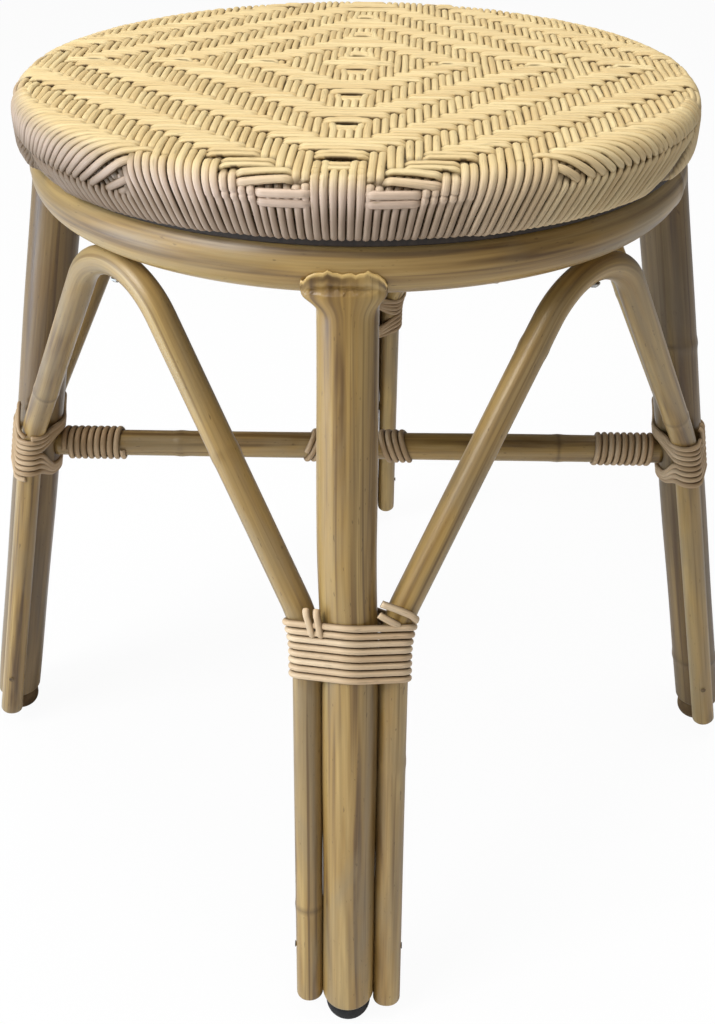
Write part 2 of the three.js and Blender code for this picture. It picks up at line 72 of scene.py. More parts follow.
# %% The camera
CAMERA_PLACE = (11.3, -698.8, 647.3)
CAMERA_TURNS = ((0.93, "Z"), (90 - 33.735, "X"), (0.26, "Z"))
CAMERA_LENS, CAMERA_SENSOR = 42.41, 36.0
camera = put_in_scene("camera", bpy.data.cameras.new("camera"))
camera.data.lens, camera.data.sensor_width = CAMERA_LENS, CAMERA_SENSOR
camera_matrix = Matrix.Translation(Vector(CAMERA_PLACE) * MM)
for angle, axis in CAMERA_TURNS:
    camera_matrix = camera_matrix @ Matrix.Rotation(math.radians(angle), 4, axis)
camera.matrix_world = camera_matrix
bpy.context.scene.camera = camera
print("camera at", [round(v, 3) for v in camera.location])

# %% [markdown]
# The shapes are worked out with numpy, a whole row of points at a time, because Python loops over
# a million points would take minutes. A few short helpers keep that readable.

# %% Helpers for lines and circles


def unit(vectors):
    """Vectors scaled to length one."""
    return vectors / np.maximum(np.linalg.norm(vectors, axis=-1, keepdims=True), 1e-9)


def full_circle(steps):
    """Angles evenly once round."""
    return np.linspace(0, 2 * np.pi, steps, endpoint=False)


def polar(radius, angle, height):
    """Points at these distances from the Z axis, angles and heights."""
    return np.stack(np.broadcast_arrays(radius * np.cos(angle), radius * np.sin(angle), height), axis=-1)


def turned(points, angle):
    """Points turned round the stool's middle."""
    cos, sin = math.cos(angle), math.sin(angle)
    return np.asarray(points) @ np.array([[cos, sin, 0], [-sin, cos, 0], [0, 0, 1]])


def smooth_step(value, low, high):
    """0 below low, 1 above high and a soft rise between."""
    share = np.clip((value - low) / (high - low), 0, 1)
    return share * share * (3 - 2 * share)


def hump(away, width, power=2):
    """1 in the middle and near 0 beyond the width. A higher power gives steeper sides."""
    return np.exp(-(away / width) ** power)


def run_of(path):
    """The way that a path runs at each of its points."""
    step = np.empty_like(path)
    step[1:-1] = path[2:] - path[:-2]
    step[0] = path[1] - path[0]
    step[-1] = path[-1] - path[-2]
    return unit(step)


def length_along(path):
    """The length from a path's start to each of its points."""
    return np.concatenate([[0], np.cumsum(np.linalg.norm(np.diff(path, axis=0), axis=1))])


def straight(start, end, steps):
    """Evenly spaced points from start to end."""
    share = np.linspace(0, 1, steps + 1)[:, None]
    return np.array(start, float) * (1 - share) + np.array(end, float) * share


def carried_out(path, first):
    """A direction square to the path that is carried along it without twisting."""
    run = run_of(path)
    out = np.empty_like(path)
    ahead = np.array(first, float)
    for at in range(len(path)):
        ahead = unit(ahead - run[at] * ahead.dot(run[at]))
        out[at] = ahead
    return out


print("a circle of 4:", polar(1.0, full_circle(4), 0.0).round(2).tolist())

# %% [markdown]
# Most pieces here are sticks of some section that follow a path: a pole, a bent brace, a strand.
# Blender's curve bevel could sweep them, but it keeps no record of where the grain runs. This
# helper sweeps rings of points itself and writes a vector called grain on every point: the place
# that the point would have if the stick were straight. All the wood finishes read it.

# %% A helper that sweeps sticks
GRAIN_STEP = np.array([97.0, 53.0, 611.0])
stick_number = itertools.count(1)


def ring_faces(rings, sides, closed):
    """Four-sided faces between neighbouring rings."""
    ring = np.arange(rings if closed else rings - 1)[:, None]
    side = np.arange(sides)[None, :]
    after, beside = (ring + 1) % rings, (side + 1) % sides
    quads = [ring * sides + side, ring * sides + beside, after * sides + beside, after * sides + side]
    return np.stack(np.broadcast_arrays(*quads), axis=-1).reshape(-1, 4)


def ring_parts(points, grain, closed=False):
    """Points, faces, caps and grain of a piece from its grid of rings."""
    rings, sides = points.shape[:2]
    caps = [] if closed else [np.arange(sides)[::-1], np.arange(sides) + (rings - 1) * sides]
    return points.reshape(-1, 3), ring_faces(rings, sides, closed), caps, grain.reshape(-1, 3)


def stick_parts(path, out, section, closed=False):
    """One swept stick. section is (ring, point, (across, outward)) in mm."""
    run = run_of(path)
    out = unit(out - run * np.sum(out * run, axis=1, keepdims=True))
    across = np.cross(out, run)
    section = np.broadcast_to(section, (len(path),) + section.shape[-2:])
    points = path[:, None] + across[:, None] * section[..., :1] + out[:, None] * section[..., 1:]
    length = np.broadcast_to(length_along(path)[:, None, None], section.shape[:2] + (1,))
    grain = np.concatenate([section, length], axis=2) + GRAIN_STEP * (next(stick_number) % 97)
    return ring_parts(points, grain, closed)


def merged(parts):
    """Several sticks as one set of points, faces, caps and grain."""
    shifts = np.cumsum([0] + [len(part[0]) for part in parts[:-1]])
    points, grain = (np.concatenate([part[at] for part in parts]) for at in (0, 3))
    quads = np.concatenate([part[1] + shift for part, shift in zip(parts, shifts)])
    caps = [cap + shift for part, shift in zip(parts, shifts) for cap in part[2]]
    return points, quads, caps, grain


def turned_parts(parts, angle):
    """The parts of a piece with its points turned round the stool's middle."""
    return (turned(parts[0], angle),) + parts[1:]


def mesh_piece(name, node, parts, marks, finishes):
    """One smooth-shaded piece with flat end caps, in place of the solid called node."""
    points, quads, caps, grain = parts
    loops = np.concatenate([quads.ravel(), *caps]).astype(np.int32)
    counts = np.concatenate([np.full(len(quads), 4), [len(cap) for cap in caps]]).astype(np.int32)
    is_cap = np.arange(len(counts)) >= len(quads)
    mesh = bpy.data.meshes.new(name)
    mesh.vertices.add(len(points))
    mesh.vertices.foreach_set("co", (points * MM).astype(np.float32).ravel())
    mesh.loops.add(len(loops))
    mesh.loops.foreach_set("vertex_index", loops)
    mesh.polygons.add(len(counts))
    mesh.polygons.foreach_set("loop_start", (np.cumsum(counts) - counts).astype(np.int32))
    mesh.polygons.foreach_set("loop_total", counts)
    mesh.update(calc_edges=True)
    mesh.polygons.foreach_set("use_smooth", ~is_cap)
    if len(finishes) > 1:
        mesh.polygons.foreach_set("material_index", is_cap.astype(np.int32))
    layer = mesh.attributes.new("grain", "FLOAT_VECTOR", "POINT")
    layer.data.foreach_set("vector", (grain * MM).astype(np.float32).ravel())
    for label, values in marks.items():
        layer = mesh.attributes.new(label, "FLOAT", "POINT")
        layer.data.foreach_set("value", values.astype(np.float32).ravel())
    for finish in finishes:
        mesh.materials.append(finish)
    mesh.validate()
    piece = put_in_scene(name, mesh)
    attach(piece, "root")
    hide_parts(node)


print("grain steps per stick:", GRAIN_STEP)

# %% [markdown]
# Every finish is a small tree of shader nodes. Wiring one by hand takes a line for each node and
# for each link, and the wood finishes have dozens. So a class wraps the tree, with one short
# method for each kind of node that is used, and a second class adds the main shader.

# %% Nodes for the finishes


class Nodes:
    """A node tree that is put together by short calls."""

    def __init__(self, tree):
        self.tree = tree

    def plug(self, socket, value):
        """Links a socket to another one, or sets it to a number, a place or a colour."""
        if isinstance(value, bpy.types.NodeSocket):
            self.tree.links.new(value, socket)
        elif socket.type == "RGBA":
            socket.default_value = tuple(value) + (1.0,)
        else:
            socket.default_value = value

    def add(self, kind, inputs, **settings):
        """A new node with its settings. inputs says what each of its sockets gets."""
        node = self.tree.nodes.new("ShaderNode" + kind)
        for setting, value in settings.items():
            setattr(node, setting, value)
        for socket, value in inputs.items():
            self.plug(node.inputs[socket], value)
        return node

    def grain(self, across, along, shift=0.0):
        """The grain vector, for features of these sizes in mm across and along the stick."""
        return self.scaled(self.add("Attribute", {}, attribute_name="grain"), (across, across, along), shift)

    def scaled(self, source, sizes, shift=0.0, output="Vector"):
        """A node's vector, for features of these sizes in mm."""
        inputs = {"Vector": source.outputs[output], "Scale": tuple(1 / (size * MM) for size in sizes)}
        return self.add("Mapping", {**inputs, "Location": (shift,) * 3}).outputs["Vector"]

    def noise(self, vector, detail=3.0, rough=0.55, warp=0.0):
        """A noise value from 0 to 1."""
        inputs = {"Vector": vector, "Scale": 1.0, "Detail": detail, "Roughness": rough, "Distortion": warp}
        return self.add("TexNoise", inputs).outputs["Fac"]

    def ramp(self, value, *stops):
        """Colours, or greys written as numbers, at places from 0 to 1."""
        node = self.add("ValToRGB", {"Fac": value})
        elements = node.color_ramp.elements
        while len(elements) < len(stops):
            elements.new(0.5)
        for element, (place, colour) in zip(elements, stops):
            element.position = place
            element.color = (colour if isinstance(colour, tuple) else (colour,) * 3) + (1.0,)
        return node.outputs["Color"]

    def blend(self, share, first, second, mode="MIX"):
        """Two colours mixed by a share."""
        inputs = {0: share, 6: first, 7: second}
        return self.add("Mix", inputs, data_type="RGBA", blend_type=mode, clamp_factor=True).outputs[2]

    def sums(self, first, second, how="MULTIPLY"):
        """Two numbers put together."""
        return self.add("Math", {0: first, 1: second}, operation=how).outputs[0]

    def mark(self, label):
        """A value that was written on the mesh."""
        return self.add("Attribute", {}, attribute_name=label).outputs["Fac"]


class Finish(Nodes):
    """A material with one main shader."""

    def __init__(self, name):
        self.material = bpy.data.materials.new(name)
        self.material.use_nodes = True
        super().__init__(self.material.node_tree)
        self.tree.nodes.clear()
        self.shader = self.add("BsdfPrincipled", {})
        self.output = self.add("OutputMaterial", {"Surface": self.shader.outputs["BSDF"]})

    def shade(self, inputs):
        """Sets or links the main shader's sockets."""
        for socket, value in inputs.items():
            self.plug(self.shader.inputs[socket], value)

    def bumped(self, height, depth):
        """Adds a bump of a depth in mm and gives the finished material."""
        bump = self.add("Bump", {"Strength": 1.0, "Distance": depth * MM, "Height": height})
        self.shade({"Normal": bump.outputs["Normal"]})
        return self.material


def dimmed(colour, share):
    """A colour darkened or lightened by a share."""
    return tuple(value * share for value in colour)


print("methods for nodes:", [name for name in vars(Nodes) if not name.startswith("_")])

# %% [markdown]
# Peeled rattan isn't one brown. Long fibres run through it in straw, tan and olive grey, a dark
# streak lies here and there, and each old leaf joint leaves a ring. The finish reads the grain
# vector: noise that is fine across the pole and very long along it gives fibres, slower noise
# gives the mottling, and marks written on the mesh darken the joints, paint a shadow line under
# each leg's lip and pale the torn wood. A second, darker copy of the wood is painted shade for
# the side and back legs.

# %% The peeled pole and its cut end


def pole_finish(name, pale, mid, dark, grey):
    """Peeled rattan pole: fibres, mottling, dark streaks and joint rings."""
    wood = Finish(name)
    broad = wood.noise(wood.grain(9, 210), 3, 0.6, 0.4)
    fibre = wood.noise(wood.grain(1.6, 70, 3.1), 4, 0.65)
    mottle = wood.noise(wood.grain(26, 95, 8.7), 3, 0.55, 0.8)
    streak = wood.noise(wood.grain(4.2, 300, 5.5), 2, 0.5, 0.5)
    speck = wood.noise(wood.grain(1.5, 5, 1.7), 1, 0.5)
    joint = wood.mark("joint")
    base = wood.ramp(broad, (0.33, dark), (0.47, mid), (0.66, pale))
    base = wood.blend(wood.ramp(mottle, (0.42, 0), (0.66, 0.75)), base, grey)
    base = wood.blend(0.5, base, wood.ramp(fibre, (0.2, 0.55), (0.6, 1.0)), "MULTIPLY")
    base = wood.blend(wood.ramp(streak, (0.60, 0), (0.72, 0.8)), base, dark)
    base = wood.blend(wood.ramp(speck, (0.71, 0), (0.77, 0.45)), base, dimmed(dark, 0.5))
    base = wood.blend(wood.sums(joint, 0.7), base, dimmed(dark, 0.6))
    base = wood.blend(wood.mark("torn"), base, dimmed(pale, 1.35))
    wood.shade({"Base Color": base, "Roughness": wood.ramp(fibre, (0.2, 0.52), (0.8, 0.36))})
    wood.shade({"Specular IOR Level": 0.35, "Coat Weight": 0.5, "Coat Roughness": 0.34})
    return wood.bumped(wood.sums(fibre, wood.sums(joint, -0.8), "ADD"), 0.22)


def cut_end_finish():
    """The sawn end of a pole: dark, dry and full of small pores."""
    wood = Finish("cut_end")
    pores = wood.add("TexVoronoi", {"Scale": 1.0, "Vector": wood.grain(0.9, 0.9)}).outputs["Distance"]
    wood.shade({"Base Color": wood.ramp(pores, (0.15, (0.05, 0.03, 0.015)), (0.5, (0.22, 0.15, 0.08)))})
    wood.shade({"Roughness": 0.85})
    return wood.bumped(pores, 0.3)


pole_wood = pole_finish(
    "peeled_pole", (0.53, 0.36, 0.13), (0.36, 0.218, 0.06), (0.13, 0.066, 0.016), (0.31, 0.225, 0.11))
# a darker copy of the pole wood, painted shade for the side and back legs that stand in shadow
painted_shade_pole = pole_finish(
    "painted_shade_pole", (0.27, 0.172, 0.06), (0.19, 0.11, 0.034), (0.085, 0.042, 0.013), (0.16, 0.112, 0.055))
cut_end = cut_end_finish()
print("pole finishes:", pole_wood.name, painted_shade_pole.name, cut_end.name)

# %% [markdown]
# A real pole is never quite round or straight. Its radius drifts by a few tenths of a millimetre,
# it swells where a leaf grew, and its ends are eased with a knife. The section is made ring by
# ring from seeded sums of waves, which cost nothing and look the same every time.

# %% Poles with joints and eased ends
SEED = 7
JOINT_LINE, JOINT_SWELL = 0.9, 3.0
END_STEPS, END_EASE = 4, 1.2
chance = np.random.default_rng(SEED)


def eased(away, ease):
    """How far a rounded edge has fallen: 1 at the very end, 0 from ease inwards."""
    return 1 - np.sqrt(np.clip(1 - np.clip(1 - away / ease, 0, 1) ** 2, 0, 1))


def pole_section(length_at, radius, sides, joints, wave, ease=0.0, squash=None, closed=False):
    """Rings of (across, outward) for an uneven pole, and how strongly each point is a leaf joint."""
    total = length_at[-1]
    angle = full_circle(sides)
    radii = np.full((len(length_at), sides), float(radius))
    for order in range(1, 5):
        phase = chance.uniform(0, 6.28, 3)
        swing = np.sin(2 * np.pi * order * length_at / total * (1 if closed else 0.8) + phase[0])[:, None]
        radii += radius * wave / order * swing * (np.cos((order + 1) * angle + phase[1]) + 0.5)
    ring = np.zeros(len(length_at))
    for place in joints:
        ring = np.maximum(ring, hump(length_at - place, JOINT_LINE))
        radii += radius * 0.045 * hump(length_at - place, JOINT_SWELL)[:, None]
    if ease:
        for away in (length_at, total - length_at):
            radii -= ease * 0.75 * eased(away, ease)[:, None]
    section = np.stack([radii * np.cos(angle), radii * np.sin(angle)], axis=-1)
    if squash is not None:
        section = section * np.stack([1 + 0.5 * squash, 1 - squash], axis=-1)[:, None]
    return section, np.repeat(ring, sides)


def with_fine_ends(path):
    """The path with a few extra points near both ends, so that an eased end is round."""
    run = run_of(path)
    steps = END_EASE * (1 - np.cos(np.arange(1, END_STEPS + 1) / END_STEPS * math.pi / 2))[:, None]
    return np.vstack([path[:1], path[0] + run[0] * steps, path[1:-1],
                      (path[-1] - run[-1] * steps)[::-1], path[-1:]])


def round_hoop(node, inset, steps, sides, joints, wave, start=0.0):
    """A closed hoop on its solid's middle line, with its joint marks, middle radius, pole and height."""
    low, high = solid_sizes(node)
    pole = (high[2] - low[2]) / 2
    radius = (high[0] - low[0]) / 2 - pole
    height = (high[2] + low[2]) / 2
    length = np.linspace(0, 2 * np.pi * radius, steps + 1)
    section, joint = pole_section(length, pole - inset, sides, joints, wave, closed=True)
    path = polar(radius, full_circle(steps) + start, height)
    return stick_parts(path, UP, section[:steps], closed=True), joint[:steps * sides], (radius, pole, height)


print("a pole end falls over", END_EASE, "mm:", eased(np.linspace(0, END_EASE, 4), END_EASE).round(2))

# %% [markdown]
# The leg hoop is the thickest pole, steamed and bent to a full ring, and its two slanted ends are
# glued at the back. A swept ring follows the solid's middle line. The glued joint is only a thin
# dark line, so it is a mark on the mesh and not a cut.

# %% The leg hoop
HOOP_STEPS, HOOP_SIDES = 480, 40
HOOP_JOINTS = (310, 745)
SCARF_PLACE, SCARF_SLANT, SCARF_LINE = 24, 14, 0.5
hoop_parts, hoop_joint, hoop_sizes = round_hoop(
    "leg_hoop", 0.25, HOOP_STEPS, HOOP_SIDES, HOOP_JOINTS, 0.008, start=np.pi / 2)
HOOP_RADIUS, HOOP_POLE, HOOP_HEIGHT = hoop_sizes
scarf = full_circle(HOOP_STEPS)[:, None] * HOOP_RADIUS - SCARF_SLANT * np.sin(full_circle(HOOP_SIDES))
scarf_line = 0.9 * hump(scarf - SCARF_PLACE, SCARF_LINE).ravel()
hoop_marks = {"joint": np.maximum(hoop_joint * 0.7, scarf_line)}
mesh_piece("leg_hoop_pole", "leg_hoop", hoop_parts, hoop_marks, [pole_wood])
print("hoop radius, pole and height:", [round(size, 2) for size in hoop_sizes])

# %% [markdown]
# Each leg's top is cut to a fish mouth that cups the hoop, with a thin lip up the hoop's outer
# side. The lip is the piece that a bevel or a boolean would spoil, because it feathers out to
# torn fibres. So the leg is a grid round its section: every line of the grid ends at the height
# where the wood meets the hoop, and the outer lines climb on and spread into the lip. The front
# leg's upper part leans a little to the left, as the photograph shows.

# %% Legs with a fish mouth
CORNERS = {"front": -math.pi / 2, "right": 0.0, "back": math.pi / 2, "left": math.pi}
LEG_POLE, LEG_SIDES, LEG_TOP_OUT = 14.8, 72, 1.8
GLIDE_TOP, FOOT_RADIUS = 16.3, 261.3
LEG_TOP_RADIUS = HOOP_RADIUS + LEG_TOP_OUT
LEG_UPRIGHT = math.cos(math.atan2(FOOT_RADIUS - LEG_TOP_RADIUS, HOOP_HEIGHT - GLIDE_TOP))
FOOT_LEVELS, FOOT_EASE = (0, 0.12, 0.45, 1.0, 1.8, 3.0), 1.4
LIP_TOP, LIP_FALL = HOOP_HEIGHT + 0.6, 5.0
LIP_THICK, LIP_THINNED = 2.6, 1.7
LIP_SPAN, FALL_SPAN = (0.95, 1.45), (0.5, 1.15)  # radians away from the leg's outer side
FLARE = (26, 10)  # mm under the hoop's middle line
CLOSING_HEIGHT = 415.0
FRONT_LEAN, LEAN_FROM, LEAN_TO = 2.1, 215, 300


def leg_radius_at(height):
    """How far a leg's middle line is from the stool's middle at a height."""
    return FOOT_RADIUS + (LEG_TOP_RADIUS - FOOT_RADIUS) * (height - GLIDE_TOP) / (HOOP_HEIGHT - GLIDE_TOP)


def leg_grid(lip_left, lip_right, joints):
    """A leg on the +X side as points, faces, caps and grain, with its joint marks, which also carry a
    painted shadow under the lip, and its torn marks.
    """
    around = full_circle(LEG_SIDES)
    outward = np.abs((around + np.pi) % (2 * np.pi) - np.pi)
    from_hoop = LEG_TOP_OUT + LEG_POLE * np.cos(around)
    mouth = HOOP_HEIGHT - np.sqrt(np.clip(HOOP_POLE ** 2 - from_hoop ** 2, 0, None)) - 0.15
    lip_share = 1 - smooth_step(outward, *LIP_SPAN)
    ragged = 0.5 * np.sin(around * 7 + lip_left * 9) + 0.45 * np.sin(around * 17 + lip_right)
    ragged = ragged + 0.4 * np.sin(around * 31)
    torn_top = LIP_TOP + ragged - LIP_FALL * smooth_step(outward, *FALL_SPAN)
    top = mouth * (1 - lip_share) + torn_top * lip_share
    below = GLIDE_TOP + np.concatenate([FOOT_LEVELS, np.linspace(8, 384, 150)])[:, None]
    above = below[-1] + (top - below[-1]) * np.linspace(0, 1, 34)[1:, None]
    level = np.vstack([np.tile(below, LEG_SIDES), above])
    along = level - GLIDE_TOP
    pole = LEG_POLE + 0.2 + 0.22 * np.sin(along / 61 + lip_left) * np.cos(2 * around + lip_right)
    pole = pole + 0.16 * np.sin(along / 23 + lip_right) + 0.12 * np.sin(along / 37) * np.cos(3 * around)
    ring = np.zeros_like(level)
    for place in joints:
        away = along - place - 1.2 * np.sin(around + place)
        ring = np.maximum(ring, hump(away, JOINT_LINE))
        pole = pole + 0.6 * hump(away, 3.2)
    pole = pole * (1 - 0.9 * eased(along, FOOT_EASE) / LEG_POLE)

    # the lip spreads sideways and lies on the hoop's skin
    spread = smooth_step(level, HOOP_HEIGHT - FLARE[0], HOOP_HEIGHT - FLARE[1]) ** 3 * lip_share
    x = leg_radius_at(level) + pole / LEG_UPRIGHT * np.cos(around)
    y = pole * np.sin(around) * (1 + spread * np.where(np.sin(around) > 0, lip_left, lip_right))
    lift = np.clip(HOOP_POLE ** 2 - (level - HOOP_HEIGHT) ** 2, 0, None)
    skin = np.sqrt(np.clip((HOOP_RADIUS + np.sqrt(lift)) ** 2 - y ** 2, 0, None))
    lip = skin + LIP_THICK - LIP_THINNED * smooth_step(level, HOOP_HEIGHT - 6, LIP_TOP)
    on_skin = (lip_share > 0.02) & (level > HOOP_HEIGHT - HOOP_POLE + 1)
    x = np.where(on_skin, np.maximum(lip, np.where(level > HOOP_HEIGHT - 8, 0, x)), x)

    # the grid's last rings fold in against the hoop and close underneath it
    fold_x = np.where(lip_share > 0.02, skin[-1] + 0.05, x[-1])
    fold = np.stack([fold_x, y[-1], level[-1] - 0.1], axis=-1)
    under = np.array([leg_radius_at(CLOSING_HEIGHT), 0.0, CLOSING_HEIGHT])
    hidden = under + (fold - under) * np.array([0.55, 0.55, 1.0])
    hidden[:, 2] = np.minimum(hidden[:, 2], mouth - 0.4)
    points = np.concatenate([np.stack([x, y, level], axis=-1), fold[None], hidden[None]])
    grain = np.stack([pole * np.cos(around), pole * np.sin(around), along], axis=-1)
    grain = np.concatenate([grain, grain[-1:], grain[-1:] * np.array([0.5, 0.5, 1.0])])

    # a painted shadow line lies under the torn edge, carried in the joint mark, and the edge itself is pale
    torn = smooth_step(level, top - 1.5, top - 0.7) * lip_share
    shade = smooth_step(level, top - 5.5, top - 3.2) * (1 - smooth_step(level, top - 2.4, top - 1.4))
    ring = np.maximum(ring, shade * lip_share * (0.7 + 0.5 * np.sin(around * 5 + lip_left * 7)))
    marks = {label: np.pad(values, ((0, 2), (0, 0))) for label, values in (("joint", ring), ("torn", torn))}
    return ring_parts(points, grain + GRAIN_STEP * next(stick_number)), marks


LEG_JOINTS = {"front": (), "right": (40, 300), "back": (120, 338), "left": (205,)}
LIP_SPREADS = {"front": (0.47, 0.72), "right": (0.4, 0.35), "back": (0.3, 0.45), "left": (0.45, 0.3)}
for corner, angle in CORNERS.items():
    parts, marks = leg_grid(*LIP_SPREADS[corner], LEG_JOINTS[corner])
    parts = turned_parts(parts, angle)
    if corner == "front":
        parts[0][:, 0] -= FRONT_LEAN * smooth_step(parts[0][:, 2], LEAN_FROM, LEAN_TO)
    # the side and back legs take the darker copy of the wood, as painted shade
    woods = [pole_wood if corner == "front" else painted_shade_pole, cut_end]
    mesh_piece(f"leg_pole_{corner}", f"leg_{corner}", parts, marks, woods)
print("legs made, lip height", round(LIP_TOP, 1))

# %% [markdown]
# A brace is one thin pole that was bent hot three times: beside a leg, over its apex and beside
# the next leg. Its path is four straight runs joined by arcs, the same as the solid's, and the
# pole flattens a little at the tight apex as bent cane does.

# %% Braces
BRACE_POLE, APEX_BEND, FOOT_BEND = 7.5, 43, 60
REST_GAP = 0.3
TAIL_OFFSET = LEG_POLE + REST_GAP + BRACE_POLE
BRACE_BEND_HEIGHT = 251.3
BRACE_APEX_HEIGHT = HOOP_HEIGHT - HOOP_POLE - REST_GAP - BRACE_POLE
TAIL_DROP = 3.4
TAIL_FOOT = GLIDE_TOP - TAIL_DROP
SWAPPED = [1, 0, 2]


def bend(before, corner, after, radius, steps):
    """Points round a corner on an arc of this radius."""
    backward, forward = unit(before - corner), unit(after - corner)
    half = math.acos(float(backward.dot(forward))) / 2
    centre = corner + unit(backward + forward) * radius / math.sin(half)
    first = Vector(corner + backward * radius / math.tan(half) - centre)
    axis = Vector(unit(np.cross(backward, forward)))
    turns = np.linspace(0, 2 * half - math.pi, steps + 1)
    return np.array([centre + np.array(Matrix.Rotation(turn, 3, axis) @ first) for turn in turns])


def brace_path():
    """The middle line of the brace between the +X leg and the +Y leg."""
    foot = np.array([leg_radius_at(TAIL_FOOT), TAIL_OFFSET, TAIL_FOOT])
    corner = np.array([leg_radius_at(BRACE_BEND_HEIGHT), TAIL_OFFSET, BRACE_BEND_HEIGHT])
    apex = polar(HOOP_RADIUS, math.pi / 4, BRACE_APEX_HEIGHT)
    middle = (corner + corner[SWAPPED]) / 2
    half_span = np.linalg.norm(corner - middle)
    rise = np.linalg.norm(apex - middle) - APEX_BEND
    slope = math.atan2(rise, half_span) + math.asin(APEX_BEND / math.hypot(half_span, rise))
    peak = middle + unit(apex - middle) * half_span * math.tan(slope)
    low_bend = bend(foot, corner, peak, FOOT_BEND, 14)
    top_bend = bend(corner, peak, corner[SWAPPED], APEX_BEND, 40)
    tail = straight(foot, low_bend[0], 70)
    run = straight(low_bend[-1], top_bend[0], 60)
    half = np.vstack([tail[:-1], low_bend[:-1], run[:-1]])
    return np.vstack([half, top_bend, half[::-1, SWAPPED]])


brace_line = brace_path()
BRACES = {
    "front": ("front_right", (165, 405, 640)), "right": ("back_right", (90, 330, 610)),
    "back": ("back_left", (210, 520, 790)), "left": ("front_left", (300, 574, 850))}
for corner, (name, joints) in BRACES.items():
    path = brace_line.copy()
    if corner == "front":
        path[0] -= run_of(path)[0] * TAIL_DROP
    path = with_fine_ends(path)
    length = length_along(path)
    flat = 0.07 * hump(length - length[-1] / 2, 26)
    section, joint = pole_section(length, BRACE_POLE + 0.3, 28, joints, 0.02, ease=1.6, squash=flat)
    parts = stick_parts(path, carried_out(path, (0.0, 1.0, 0.0)), section)
    parts = turned_parts(parts, CORNERS[corner])
    mesh_piece(f"brace_pole_{name}", f"brace_{name}", parts, {"joint": joint * 0.8},
               [pole_wood, cut_end])
print("brace length", round(length[-1]), "mm")

# %% [markdown]
# The two stretchers cross in the middle, each halved so that they lie level. They are coped to
# the legs. Straight swept poles do it, and the lashing covers the halved joint.

# %% Stretchers
STRETCHER_POLE, STRETCHER_HEIGHT, COPE_DEPTH = 9.0, 234.3, 2
HALVING_SHY = 0.2
LEG_FACE = leg_radius_at(STRETCHER_HEIGHT) - LEG_POLE / LEG_UPRIGHT
for node, angle, dip in (("stretcher_side_to_side", 0.0, 1), ("stretcher_front_to_back", math.pi / 2, -1)):
    reach = LEG_FACE + COPE_DEPTH
    path = straight((-reach, 0, STRETCHER_HEIGHT), (reach, 0, STRETCHER_HEIGHT), 200)
    section, joint = pole_section(length_along(path), STRETCHER_POLE - 0.15, 32, (84, 336), 0.02)
    crossing = np.abs(path[:, 0]) < STRETCHER_POLE + 0.4
    cut_off = crossing[:, None] & (section[..., 1] * dip > -HALVING_SHY)
    section[..., 1] = np.where(cut_off, -HALVING_SHY * dip, section[..., 1])
    parts = turned_parts(stick_parts(path, UP, section), angle)
    mesh_piece(f"{node}_pole", node, parts, {"joint": joint * 0.7}, [pole_wood, cut_end])
print("stretchers between leg faces at", round(LEG_FACE, 1))

# %% [markdown]
# The seat is a doubled diamond twill. Pairs of warps run front to back and pairs of wefts run side
# to side. Each pair floats over three pairs and dives under three, and the step moves outwards
# from the middle on all four sides, which draws the diamonds. A displaced or printed pattern would
# look flat at the rim, so every strand is modelled. All of them lie on one middle surface: nearly
# flat, then round the rim and in underneath.

# %% The middle surface of the weave
seat_low, seat_high = solid_sizes("seat_weave")
SEAT_RADIUS = (seat_high[0] - seat_low[0]) / 2
STRAND_DEPTH, CROWN = 2.2, 0.8
RIM_WIDTH, UNDER_WIDTH, TUCK_RADIUS = 13.2, 2.9, 166.0
RIM_START = SEAT_RADIUS - RIM_WIDTH
LIP_UNDER = 2.5
RIM_STEP = 0.25


def rim_profile():
    """Radius and height of the middle surface, evenly along it, from the flat to the tuck."""
    turn = np.linspace(0, np.pi / 2, 90)
    outer = SEAT_RADIUS - STRAND_DEPTH
    inner = outer - UNDER_WIDTH
    top, bottom = seat_high[2] - CROWN - STRAND_DEPTH, seat_low[2] + STRAND_DEPTH
    middle = (top + bottom) / 2
    bulge, fall = np.sin(turn) ** 0.72, np.cos(turn) ** 0.72
    upper = np.stack([RIM_START + (outer - RIM_START) * bulge, middle + (top - middle) * fall], axis=1)
    bulge, fall = np.sin(turn) ** 0.55, np.cos(turn) ** 0.55
    drop = middle - bottom + LIP_UNDER
    lower = np.stack([inner + (outer - inner) * bulge, middle - drop * fall], axis=1)[::-1]
    tuck = [[inner - 1.8, bottom - 0.7], [inner - 3.6, bottom], [TUCK_RADIUS, bottom]]
    line = np.vstack([upper, lower[1:], tuck])
    length = length_along(line)
    even = np.arange(0, length[-1], RIM_STEP)
    return np.interp(even, length, line[:, 0]), np.interp(even, length, line[:, 1]), even


rim_radius, rim_height, rim_length = rim_profile()
rim_slope, rim_fall = np.gradient(rim_radius, RIM_STEP), np.gradient(rim_height, RIM_STEP)
rim_widest = int(np.argmax(rim_radius))
print("rim from radius", round(RIM_START, 1), "widest", round(rim_radius.max(), 1),
      "length", round(rim_length[-1], 1))

# %% [markdown]
# A strand pulled tight over the rim takes the shortest way. On a round form that way keeps
# radius times the sine of its slant the same all along, so each strand's slant follows from how
# far it runs from the middle. Strands near the middle drop straight down the rim. The outer ones
# run slanted round it, as the photograph's left and right edges show.

# %% The strands' ways over the rim
WAY_STEP, WAY_STEPS = 0.5, 560
GRID_STEP = 0.5
NONE_THERE = 999.0


def on_rim(values, along):
    """One of the rim's values at these lengths over the rim."""
    return np.interp(along, rim_length, values)


